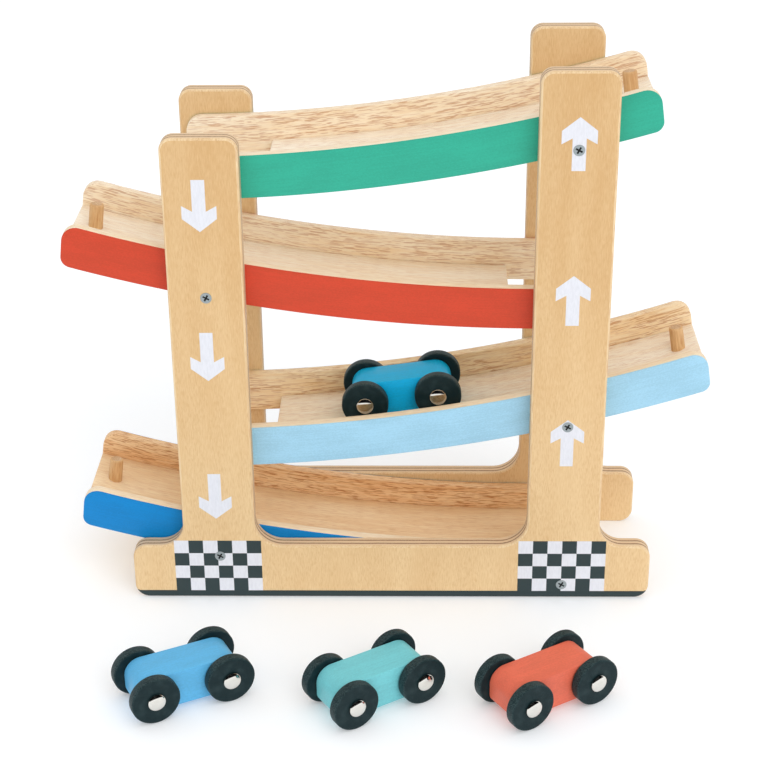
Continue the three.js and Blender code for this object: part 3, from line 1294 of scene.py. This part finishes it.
class CheckTree(GeometryTree):
    """A racing check of thin plates in the X-Y plane, alternately dark and white."""

    def __init__(self) -> None:
        """Builds the tree with the numbers of cells, the cell's size and both inks as inputs."""
        kinds = {
            "Columns": "NodeSocketInt",
            "Rows": "NodeSocketInt",
            "Cell": "NodeSocketFloat",
            "Thickness": "NodeSocketFloat",
            "Dark": "NodeSocketMaterial",
            "White": "NodeSocketMaterial",
        }
        super().__init__("racing_check", kinds)
        given = self.given
        wide = self.math("MULTIPLY", self.math("SUBTRACT", given["Columns"], 1.0), given["Cell"])
        high = self.math("MULTIPLY", self.math("SUBTRACT", given["Rows"], 1.0), given["Cell"])
        grid = self.add(
            "GeometryNodeMeshGrid",
            {
                "Size X": wide,
                "Size Y": high,
                "Vertices X": given["Columns"],
                "Vertices Y": given["Rows"],
            },
        )
        cell, thickness = given["Cell"], given["Thickness"]
        size = self.add("ShaderNodeCombineXYZ", {0: cell, 1: cell, 2: thickness})
        plate = self.add("GeometryNodeMeshCube", {"Size": size.outputs[0]})
        number = self.add("GeometryNodeInputIndex").outputs[0]
        column = self.math("FLOOR", self.math("DIVIDE", number, given["Rows"]))
        row = self.math("MODULO", number, given["Rows"])
        odd = self.math("MODULO", self.math("ADD", column, row), 2.0)
        white = self.plates(grid.outputs[0], plate.outputs[0], odd, given["White"])
        even = self.math("SUBTRACT", 1.0, odd)
        dark = self.plates(grid.outputs[0], plate.outputs[0], even, given["Dark"])
        joined = self.add("GeometryNodeJoinGeometry")
        self.tree.links.new(white, joined.inputs[0])
        self.tree.links.new(dark, joined.inputs[0])
        self.close(joined.outputs[0])

    def plates(self, points: Socket, plate: Socket, chosen: Socket, ink: Socket) -> Socket:
        """Puts plates of one ink on the chosen points.

        Args:
            points: The middles of all cells.
            plate: One plate.
            chosen: 1 for the points that get a plate.
            ink: The plates' material.

        Returns:
            The plates' geometry.
        """
        inputs = {"Points": points, "Instance": plate, "Selection": chosen}
        placed = self.add("GeometryNodeInstanceOnPoints", inputs)
        return self.paint(placed.outputs[0], ink)


@dataclass
class Prints:
    """The arrows, racing checks and dark base band printed on an outer face."""

    sizes: StandSizes
    board: SideFrame
    columns: int = 6
    rows: int = 4
    cell: float = 7.31 * MM
    check_left: float = -87.1 * MM
    check_right: float = 85.75 * MM
    arrow_length: float = 25.3 * MM
    head_half: float = 8.1 * MM
    wing_top: float = 6.4 * MM
    wing_bottom: float = 12.7 * MM
    notch: float = 9.9 * MM
    stem_half: float = 3.15 * MM
    band_inset: float = 0.9 * MM
    band_reach: float = 0.6 * MM
    down_x: float = -87 * MM
    down_tips: Triple = (198.3 * MM, 122 * MM, 45.8 * MM)
    up_x: float = 86 * MM
    up_tips: Triple = (252.8 * MM, 176.2 * MM, 101 * MM)
    white: Ink = Ink("white_print", (230, 231, 238))

    @property
    def middle(self) -> float:
        """y of the middle of the print's thickness."""
        outer = self.sizes.outer_face(self.board.side) - self.board.side.value * PRINT_SINK
        return outer - self.board.side.value * PRINT_THICKNESS / 2

    def arrow_outline(self) -> list[Point]:
        """Outlines an arrow that points up.

        Returns:
            Its points, anticlockwise from the tip at the origin.
        """
        half = [
            (0, 0),
            (-self.head_half, -self.wing_top),
            (-self.head_half, -self.wing_bottom),
            (-self.stem_half, -self.notch),
            (-self.stem_half, -self.arrow_length),
        ]
        return half + [(-x, z) for x, z in reversed(half[1:])]

    def plate(self, outline: Sequence[Point]) -> Shape:
        """A thin flat plate of print, centred on y = 0."""
        return prism(outline, -PRINT_THICKNESS / 2, PRINT_THICKNESS / 2)

    def finish(self, mesh: Mesh, name: str) -> Piece:
        """Makes a mesh a finished print of the stand.

        Args:
            mesh: The print's mesh.
            name: The piece's name.

        Returns:
            The print's piece.
        """
        write_grain(mesh, upright_grain)
        piece = new_piece(name, mesh)
        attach(piece, "stand")
        return piece

    def build_arrows(self, tree: PlaceTree, axis: Axis) -> Piece:
        """Makes the arrows of one upright.

        Args:
            tree: The tree that places copies.
            axis: Which way the arrows point.

        Returns:
            The arrows' piece.
        """
        side = self.board.side
        is_up = axis is Axis.UP
        x, tips = (self.up_x, self.up_tips) if is_up else (self.down_x, self.down_tips)
        turn = (0, 0 if is_up else math.pi, 0)
        name = f"{side.label}_{axis.name.lower()}_arrows"
        points = [(x, self.middle, z) for z in tips]
        plate = self.plate(self.arrow_outline())
        mesh = tree.copies(name, plate, points, turn, self.white.material())
        return self.finish(mesh, name)

    def build_check(self, tree: CheckTree, x: float, hand: str) -> Piece:
        """Makes one racing check.

        Args:
            tree: The tree that makes checks.
            x: The check's middle.
            hand: The end of the base that it is on, for the name.

        Returns:
            The check's piece.
        """
        name = f"{self.board.side.label}_{hand}_check"
        values = {
            "Columns": self.columns,
            "Rows": self.rows,
            "Cell": self.cell,
            "Thickness": PRINT_THICKNESS,
            "Dark": self.board.dark.material(),
            "White": self.white.material(),
        }
        mesh = tree.bake(name, [], values)
        height = self.board.band + self.rows * self.cell / 2
        place = Matrix.Translation((x, self.middle, height))
        mesh.transform(place @ Matrix.Rotation(math.pi / 2, 4, "X"))
        return self.finish(mesh, name)

    def build_band(self) -> Piece:
        """Makes the dark band along the foot of the base, inside its rounded outline.

        Returns:
            The band's piece.
        """
        outline = inset_outline(self.board.outline(), self.band_inset)
        top = self.board.band
        low = [point for point in outline if point[1] < top]
        left = sorted((p for p in low if p[0] < 0), key=lambda p: -p[1])
        right = sorted((p for p in low if p[0] > 0), key=lambda p: p[1])
        start, end = (left[0][0] - self.band_reach, top), (right[-1][0] + self.band_reach, top)
        shape = self.plate([start, *left, *right, end])
        bmesh.ops.translate(shape, verts=shape.verts, vec=(0, self.middle, 0))
        name = f"{self.board.side.label}_base_band"
        piece = settle(name, shape, [self.board.dark.material()], upright_grain)
        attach(piece, "stand")
        return piece

    def build(self, place: PlaceTree, check: CheckTree) -> list[Piece]:
        """Makes every print of this face.

        Args:
            place: The tree that places copies.
            check: The tree that makes checks.

        Returns:
            The prints' pieces.
        """
        arrows = [self.build_arrows(place, axis) for axis in Axis]
        checks = [
            self.build_check(check, self.check_left, "left"),
            self.build_check(check, self.check_right, "right"),
        ]
        return [*arrows, *checks, self.build_band()]


@dataclass
class Fixings:
    """The screws through the side frames and the stop pegs on the floors."""

    sizes: StandSizes
    tracks: list[Track]
    head: float = 5.4 * MM
    head_edge: float = 0.12 * MM
    head_depth: float = 1.3 * MM
    shank: float = 2.8 * MM
    shank_length: float = 20 * MM
    proud: float = 0.15 * MM
    slot_width: float = 0.9 * MM
    slot_length: float = 3.4 * MM
    slot_depth: float = 0.12 * MM
    slot_turn: float = 0.5
    slot_zone: Pair = (0.3, 1.1)
    slot_reach: float = 0.56
    peg: float = 7 * MM
    peg_proud: float = 12 * MM
    peg_depth: float = 5 * MM
    peg_round: float = 0.9 * MM
    round_steps: int = 4
    grain_shift: float = 2
    sides: int = 32
    steel: Metal = Metal("screw_steel", (166, 175, 178), 0.35, 0.5)
    # Near-black painted shadow on the floors of the shallow cross slots, standing in for their
    # depth.
    shadow: Ink = Ink("screw_slot", (14, 18, 20))
    dowel: Wood = Wood("dowel", (228, 190, 140), (206, 160, 106), 0.35)
    dowel_end: Wood = Wood(
        "dowel_end", (222, 192, 152), (192, 152, 108), 0.5, fibre=(0.8, 0.8, 0.8)
    )

    def cross_outline(self) -> list[Point]:
        """Outlines the cross slot.

        Returns:
            Its points, anticlockwise.
        """
        arm, width = self.slot_length / 2, self.slot_width / 2
        half = [(-arm, -width), (-width, -width), (-width, -arm)]
        half += [(width, -arm), (width, -width), (arm, -width)]
        return [*half, *((-x, -z) for x, z in half)]

    def screw(self) -> Shape:
        """Makes a countersunk screw with a cross slot.

        Returns:
            The shape, with its head's face at y = 0 and its point at +Y.
        """
        half, shank, edge = self.head / 2, self.shank / 2, self.head_edge
        depth = self.head_depth
        profile = [
            (0, 0),
            (half - edge, 0),
            (half, edge),
            (shank, depth),
            (shank, self.shank_length),
            (0, self.shank_length + self.shank),
        ]
        shape = lathe(profile, self.sides)
        body = new_piece("screw_blank", plain_mesh("screw_blank", shape))
        slots = prism(self.cross_outline(), -depth, self.slot_depth)
        bmesh.ops.rotate(slots, verts=slots.verts, matrix=Matrix.Rotation(self.slot_turn, 3, "Y"))
        cutter = new_piece("screw_slot", plain_mesh("screw_slot", slots))
        modifier = body.modifiers.new("slot", "BOOLEAN")
        modifier.object = cutter
        modifier.solver = "EXACT"
        depsgraph = bpy.context.evaluated_depsgraph_get()
        cut = bpy.data.meshes.new_from_object(body.evaluated_get(depsgraph))
        shape = bmesh.new()
        shape.from_mesh(cut)
        bpy.data.objects.remove(body)
        bpy.data.objects.remove(cutter)
        bpy.data.meshes.remove(cut)
        return shape

    def build_screws(self, tree: PlaceTree, side: Side) -> Piece:
        """Makes all screws of one side.

        Args:
            tree: The tree that places copies.
            side: The side that they are driven from.

        Returns:
            The screws' piece.
        """
        face = self.sizes.outer_face(side) + side.value * self.proud
        points = [(x, face, z) for track in self.tracks for x, z in track.screw_places()]
        turn = (0, 0, 0 if side is Side.FRONT else math.pi)
        name = f"{side.label}_screws"
        mesh = tree.copies(name, self.screw(), points, turn, self.steel.material())
        write_grain(mesh, upright_grain)
        smooth(mesh)
        # The slot floors get the painted shadow.
        mesh.materials.append(self.shadow.material())
        shallow, deep = (share * self.slot_depth for share in self.slot_zone)
        for polygon in mesh.polygons:
            centre = polygon.center
            depth = abs(centre.y - face)
            reach = min(math.hypot(centre.x - x, centre.z - z) for x, _, z in points)
            in_slot = shallow < depth < deep and reach < self.slot_reach * self.slot_length
            if in_slot:
                polygon.material_index = len(mesh.materials) - 1
        piece = new_piece(name, mesh)
        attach(piece, "stand")
        labels = ["top", "second", "third", "bottom_high", "bottom_low"]
        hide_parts(*(f"{side.label}_screw_{label}" for label in labels))
        return piece

    def build_peg(self, track: Track) -> Piece:
        """Makes the stop peg of one track.

        Args:
            track: The track whose high end the peg closes.

        Returns:
            The peg's piece.
        """
        radius, top, ease = self.peg / 2, self.peg_proud, self.peg_round
        inner, lower = radius - ease, top - ease
        turns = quarter_turn(self.round_steps)
        crown = [(inner + ease * math.cos(t), lower + ease * math.sin(t)) for t in turns]
        profile = [(0, -self.peg_depth), (radius, -self.peg_depth), *crown, (0, top)]
        shape = lathe(profile, self.sides)
        for part in shape.faces:
            part.material_index = int(part.calc_center_median().y > top - TOLERANCE)
        tilt = Matrix.Rotation(-track.slope, 4, "Y") @ Matrix.Rotation(math.pi / 2, 4, "X")
        stood = Matrix.Translation(track.peg_foot) @ tilt
        shift = track.underside * self.grain_shift
        name = f"{track.name}_stop_peg"
        woods = [self.dowel.material(), self.dowel_end.material()]
        piece = settle(
            f"{name}_finished", shape, woods, lambda p: (p.y + shift, p.x, p.z), track.place @ stood
        )
        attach(piece, "stand")
        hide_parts(name)
        return piece

    def build(self, tree: PlaceTree) -> list[Piece]:
        """Makes all screws and pegs.

        Args:
            tree: The tree that places copies.

        Returns:
            Their pieces.
        """
        screws = [self.build_screws(tree, side) for side in Side]
        return [*screws, *(self.build_peg(track) for track in self.tracks)]


@dataclass
class Car:
    """A toy car: a painted block, two axles with domed heads and four wheels."""

    name: str
    paint: Paint
    place: Matrix
    length: float = 50.4 * MM
    width: float = 19.5 * MM
    height: float = 18.3 * MM
    clearance: float = 2.4 * MM
    top_radius: float = 8 * MM
    bottom_radius: float = 5 * MM
    arris: float = 0.6 * MM
    wheelbase: float = 36.7 * MM
    wheel: float = 23.3 * MM
    wheel_width: float = 5 * MM
    wheel_edge: float = 0.7 * MM
    side_play: float = 0.5 * MM
    axle: float = 3 * MM
    bore_play: float = 0.3 * MM
    hub: float = 8.6 * MM
    hub_rise: float = 1.9 * MM
    hub_play: float = 0.3 * MM
    hub_rim: float = 0.35 * MM
    face_ring: float = 2.1 * MM
    sides: int = 72
    corner_steps: int = 14
    arris_steps: int = 4
    dome_steps: int = 10
    black: WheelBlack = WheelBlack("wheel_black", (12, 37, 41), (62, 82, 84), 11.65)
    chrome: Metal = Metal("hub_chrome", (236, 233, 226), 0.05)

    def ends(self) -> dict[str, float]:
        """x of the axles by name."""
        return {"front": self.wheelbase / 2, "rear": -self.wheelbase / 2}

    def build_body(self) -> Piece:
        """Makes the painted block with rounded ends.

        Returns:
            The block's piece.
        """
        half, top = self.length / 2, self.clearance + self.height
        corners = [
            (-half, self.clearance, self.bottom_radius),
            (half, self.clearance, self.bottom_radius),
            (half, top, self.top_radius),
            (-half, top, self.top_radius),
        ]
        outline = rounded_outline(corners, self.corner_steps)
        shape = board(outline, -self.width / 2, self.width / 2, self.arris, self.arris_steps)
        shift = self.place.translation.x
        piece = settle(
            f"{self.name}_block",
            shape,
            [self.paint.material()] * len(Face),
            lambda p: (p.x + shift, p.y, p.z),
            self.place,
        )
        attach(piece, self.name)
        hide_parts(f"{self.name}_body")
        return piece

    def build_axle(self, end: str, x: float) -> Piece:
        """Makes one axle with a domed head at each end.

        Args:
            end: The car's end that the axle is at.
            x: The axle's place along the car.

        Returns:
            The axle's piece.
        """
        seat = self.width / 2 + self.side_play + self.wheel_width + self.hub_play
        shaft, hub, rim = self.axle / 2, self.hub / 2, self.hub_rim
        turns = quarter_turn(self.dome_steps)
        rise = self.hub_rise - rim
        dome = [(hub * math.cos(t), seat + rim + rise * math.sin(t)) for t in turns]
        dome[-1] = (0, dome[-1][1])
        far = [(shaft, seat), (hub - rim / 2, seat), *dome]
        near = [(radius, -y) for radius, y in reversed(far)]
        shape = lathe([*near, *far], self.sides)
        centre = Matrix.Translation((x, 0, self.wheel / 2))
        name = f"{self.name}_{end}_axle"
        chrome = self.chrome.material()
        piece = settle(
            f"{name}_finished", shape, [chrome], lambda p: (p.x, p.z, p.y), self.place @ centre
        )
        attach(piece, self.name)
        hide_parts(name)
        return piece

    def build_wheel(self, end: str, x: float, hand: str, side: int) -> Piece:
        """Makes one wheel with eased edges.

        Args:
            end: The car's end that the wheel is at.
            x: The axle's place along the car.
            hand: Left or right, for the name.
            side: 1 for the left, -1 for the right.

        Returns:
            The wheel's piece.
        """
        radius, half, edge = self.wheel / 2, self.wheel_width / 2, self.wheel_edge
        bore = self.axle / 2 + self.bore_play
        turns = quarter_turn(self.arris_steps)
        insets = [(edge * (1 - math.sin(t)), edge * (1 - math.cos(t))) for t in turns]
        easing = [(radius - inward, half - down) for inward, down in insets]
        far = [(bore, half), (radius - self.face_ring, half), *easing]
        near = [(r, -y) for r, y in reversed(far)]
        shape = lathe([*near[::-1], *far[::-1]], self.sides, closed=True)
        middle = side * (self.width / 2 + self.side_play + half)
        centre = Matrix.Translation((x, middle, self.wheel / 2))
        name = f"{self.name}_{end}_{hand}_wheel"
        black = self.black.material()
        piece = settle(
            f"{name}_finished", shape, [black], lambda p: (p.x, p.z, p.y + x), self.place @ centre
        )
        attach(piece, name)
        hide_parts(name)
        return piece

    def build(self) -> list[Piece]:
        """Makes the whole car.

        Returns:
            The car's pieces.
        """
        made = [self.build_body()]
        for end, x in self.ends().items():
            made.append(self.build_axle(end, x))
            for hand, side in (("left", 1), ("right", -1)):
                made.append(self.build_wheel(end, x, hand, side))
        return made


@dataclass
class Studio:
    """White floor, soft light and the camera of the photograph."""

    floor_level: float = -0.2 * MM
    floor_reach: float = 8.0
    floor_colour: Colour = (233, 236, 239)
    floor_lift: float = 0.2
    floor_glow: float = 0.3
    card_height: float = 0.65
    card_colour: Colour = (10, 10, 11)
    card_x: Pair = (-6.0, 6.0)
    card_y: Pair = (-8.0, 0.3)
    sky_low: float = 0.42
    sky_high: float = 1.2
    key_strength: float = 0.86
    key_angle: float = math.radians(45)
    key_from: Triple = (0.4, -0.77, 0.6)
    camera_place: Triple = (13.03 * MM, -774.88 * MM, 494.89 * MM)
    pitch: float = math.radians(25.95)
    yaw: float = math.radians(-1.14)
    roll: float = math.radians(-0.49)
    lens: float = 83.57
    sensor: float = 36.0
    clip: Pair = (0.01, 60.0)

    def build_floor(self) -> None:
        """Makes the floor, which the camera sees lifted to white outside the shadows."""
        reach = self.floor_reach
        mesh = bpy.data.meshes.new("floor")
        corners = [(-reach, -reach), (reach, -reach), (reach, reach), (-reach, reach)]
        mesh.from_pydata([(x, y, self.floor_level) for x, y in corners], [], [(0, 1, 2, 3)])
        floor = new_piece("floor", mesh)
        material = bpy.data.materials.new("floor_white")
        material.use_nodes = True
        nodes = Nodes(material.node_tree)
        matt = nodes.add("ShaderNodeBsdfDiffuse", {"Color": linear(self.floor_colour)})
        strengths = {0: nodes.seen(), 3: self.floor_glow, 4: self.floor_lift}
        strength = nodes.add("ShaderNodeMapRange", strengths)
        lift = nodes.add("ShaderNodeEmission", {"Strength": strength.outputs[0]})
        both = nodes.add("ShaderNodeAddShader", {0: matt.outputs[0], 1: lift.outputs[0]})
        nodes.add("ShaderNodeOutputMaterial", {"Surface": both.outputs[0]})
        mesh.materials.append(material)

    def build_light(self) -> None:
        """Makes the sky, brighter overhead, and the soft key light from the front right."""
        world = bpy.data.worlds.new("studio")
        bpy.context.scene.world = world
        world.use_nodes = True
        nodes = Nodes(world.node_tree)
        way = nodes.add("ShaderNodeTexCoord").outputs["Generated"]
        rise = nodes.add("ShaderNodeSeparateXYZ", {0: way}).outputs[2]
        glow = nodes.add("ShaderNodeMapRange", {0: rise, 3: self.sky_low, 4: self.sky_high})
        strengths = {0: nodes.seen(), 3: glow.outputs[0], 4: 1.0}
        strength = nodes.add("ShaderNodeMapRange", strengths).outputs[0]
        sky = nodes.add("ShaderNodeBackground", {"Color": (1, 1, 1, 1), "Strength": strength})
        nodes.add("ShaderNodeOutputWorld", {"Surface": sky.outputs[0]})
        lamp = bpy.data.lights.new("key", "SUN")
        lamp.energy = self.key_strength
        lamp.angle = self.key_angle
        key = bpy.data.objects.new("key", lamp)
        key.rotation_euler = Vector(self.key_from).to_track_quat("Z", "Y").to_euler()
        bpy.context.scene.collection.objects.link(key)

    def build_card(self) -> None:
        """Makes the dark card overhead, which only shows in the chrome."""
        mesh = bpy.data.meshes.new("card")
        corners = [(x, y, self.card_height) for y in self.card_y for x in self.card_x]
        mesh.from_pydata(corners, [], [(0, 1, 3, 2)])
        card = new_piece("card", mesh)
        card.visible_camera = False
        card.visible_diffuse = False
        card.visible_transmission = False
        card.visible_shadow = False
        material = bpy.data.materials.new("card_dark")
        material.use_nodes = True
        nodes = Nodes(material.node_tree)
        matt = nodes.add("ShaderNodeBsdfDiffuse", {"Color": linear(self.card_colour)})
        nodes.add("ShaderNodeOutputMaterial", {"Surface": matt.outputs[0]})
        mesh.materials.append(material)

    def build_camera(self) -> None:
        """Makes the camera at the photograph's place, turn and field of view."""
        ahead = Vector((
            math.sin(self.yaw) * math.cos(self.pitch),
            math.cos(self.yaw) * math.cos(self.pitch),
            -math.sin(self.pitch),
        ))
        level = Vector((math.cos(self.yaw), -math.sin(self.yaw), 0))
        upward = level.cross(ahead)
        right = level * math.cos(self.roll) + upward * math.sin(self.roll)
        up = upward * math.cos(self.roll) - level * math.sin(self.roll)
        turn = Matrix((right, up, -ahead)).transposed()
        data = bpy.data.cameras.new("camera")
        data.lens = self.lens
        data.sensor_width = self.sensor
        data.clip_start, data.clip_end = self.clip
        camera = bpy.data.objects.new("camera", data)
        camera.matrix_world = Matrix.Translation(self.camera_place) @ turn.to_4x4()
        bpy.context.scene.collection.objects.link(camera)
        bpy.context.scene.camera = camera

    def build(self) -> None:
        """Makes the floor, the light, the card and the camera."""
        self.build_floor()
        self.build_light()
        self.build_card()
        self.build_camera()
        bpy.context.scene.view_settings.view_transform = "Standard"


@dataclass
class CarTrack:
    """The whole toy: stand, tracks, prints, fixings and cars."""

    sizes: StandSizes = field(default_factory=StandSizes)
    track_car_x: float = 7 * MM
    track_car_y: float = -1.3 * MM
    roll_gap: float = 0.3 * MM

    def tracks(self) -> list[Track]:
        """Sizes and dresses the four tracks.

        Returns:
            The tracks from the top down.
        """
        pale = ((251, 238, 214), (244, 220, 184))
        warm = ((249, 230, 196), (240, 208, 160))
        deep = ((247, 216, 172), (236, 190, 138))
        plank = ((251, 242, 224), (246, 228, 200))
        tan = ((246, 222, 184), (236, 202, 158))
        return [
            Track(
                self.sizes, "top", turned=False, open_end=False,
                underside=210.5 * MM, sag_beyond=18.5 * MM, high_reach=39.4 * MM,
                slot="rail_green", paint=Paint("green_paint", (50, 172, 145)),
                rail_wood=Wood("top_rail_wood", *pale, pores=0.55),
                floor_wood=Wood("top_floor_wood", *plank, pores=0.4),
            ),
            Track(
                self.sizes, "second", turned=True, open_end=False,
                underside=145.2 * MM, sag_beyond=-12 * MM, high_reach=69.3 * MM,
                slot="rail_red", paint=Paint("red_paint", (205, 70, 43)),
                rail_wood=Wood("second_rail_wood", *pale, pores=0.5),
                floor_wood=Wood("second_floor_wood", *plank, pores=0.25),
            ),
            Track(
                self.sizes, "third", turned=False, open_end=False,
                underside=70.5 * MM, sag_beyond=18 * MM, high_reach=69.4 * MM,
                slot="rail_light_blue", paint=Paint("light_blue_paint", (161, 207, 230)),
                rail_wood=Wood("third_rail_wood", *warm, pores=0.6),
                floor_wood=Wood("third_floor_wood", *plank, pores=0.35),
            ),
            Track(
                self.sizes, "bottom", turned=True, open_end=True,
                underside=3.5 * MM, sag_beyond=-9 * MM, high_reach=70 * MM,
                slot="rail_blue", paint=Paint("blue_paint", (0, 130, 200)),
                rail_wood=Wood("bottom_rail_wood", *deep, pores=0.75),
                floor_wood=Wood("bottom_floor_wood", *tan, pores=0.25),
            ),
        ]

    def table_place(self, x: float, ahead: float, heading: float) -> Matrix:
        """Where a car on the table stands, in front of the front frame."""
        spot = Matrix.Translation((x, -self.sizes.ply / 2 - ahead, 0))
        return spot @ Matrix.Rotation(math.radians(heading), 4, "Z")

    def track_place(self, track: Track, car: Car) -> Matrix:
        """Stands a car on a track, with its wheels just off the curved floor.

        Args:
            track: The track that the car is on.
            car: The car, for its wheels' sizes.

        Returns:
            From the car's own frame to the row frame.
        """
        x, z = track.centre
        angle = math.asin((self.track_car_x - x) / track.floor_radius)
        wheel = car.wheel / 2
        path = track.floor_radius - self.roll_gap - wheel
        reach = math.sqrt(path**2 - (car.wheelbase / 2) ** 2) + wheel
        across = self.sizes.middle + self.track_car_y
        spot = (x + reach * math.sin(angle), across, z - reach * math.cos(angle))
        return Matrix.Translation(spot) @ Matrix.Rotation(-angle, 4, "Y")

    def cars(self, third: Track) -> list[Car]:
        """Places the four cars.

        Args:
            third: The track that the first car stands on.

        Returns:
            The car on the track, and the three on the table from left to right.
        """
        rolling = Car("track_car", Paint("petrol_paint", (0, 178, 232)), Matrix())
        rolling.place = self.track_place(third, rolling)
        left = self.table_place(-95.7 * MM, 84.1 * MM, 27.2)
        middle = self.table_place(-6.9 * MM, 87.2 * MM, 33.2)
        right = self.table_place(72.6 * MM, 87.4 * MM, 32.8)
        return [
            rolling,
            Car("left_car", Paint("sky_paint", (94, 178, 224)), left),
            Car("middle_car", Paint("aqua_paint", (118, 201, 208)), middle),
            Car("right_car", Paint("coral_paint", (225, 110, 85)), right),
        ]

    def build(self) -> list[Piece]:
        """Makes every piece of the toy.

        Returns:
            All pieces.
        """
        side_frames = [SideFrame(self.sizes, side) for side in Side]
        tracks = self.tracks()
        cars = self.cars(tracks[2])
        prints = [Prints(self.sizes, side_frame) for side_frame in side_frames]
        fixings = Fixings(self.sizes, tracks)
        floor_tree, place_tree, check_tree = FloorTree(), PlaceTree(), CheckTree()
        made = []
        for side_frame in side_frames:
            made += side_frame.build()
        for track in tracks:
            made += track.build(floor_tree)
        for face in prints:
            made += face.build(place_tree, check_tree)
        made += fixings.build(place_tree)
        for car in cars:
            made += car.build()
        return made


def main() -> None:
    """Builds the toy and its studio, and reports every piece."""
    logging.basicConfig(level=logging.INFO, format="%(name)s: %(message)s")
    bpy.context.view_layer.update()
    Studio().build()
    for piece in CarTrack().build():
        LOG.info("%s: %d faces", piece.name, len(piece.data.polygons))


if __name__ == "__main__":
    main()
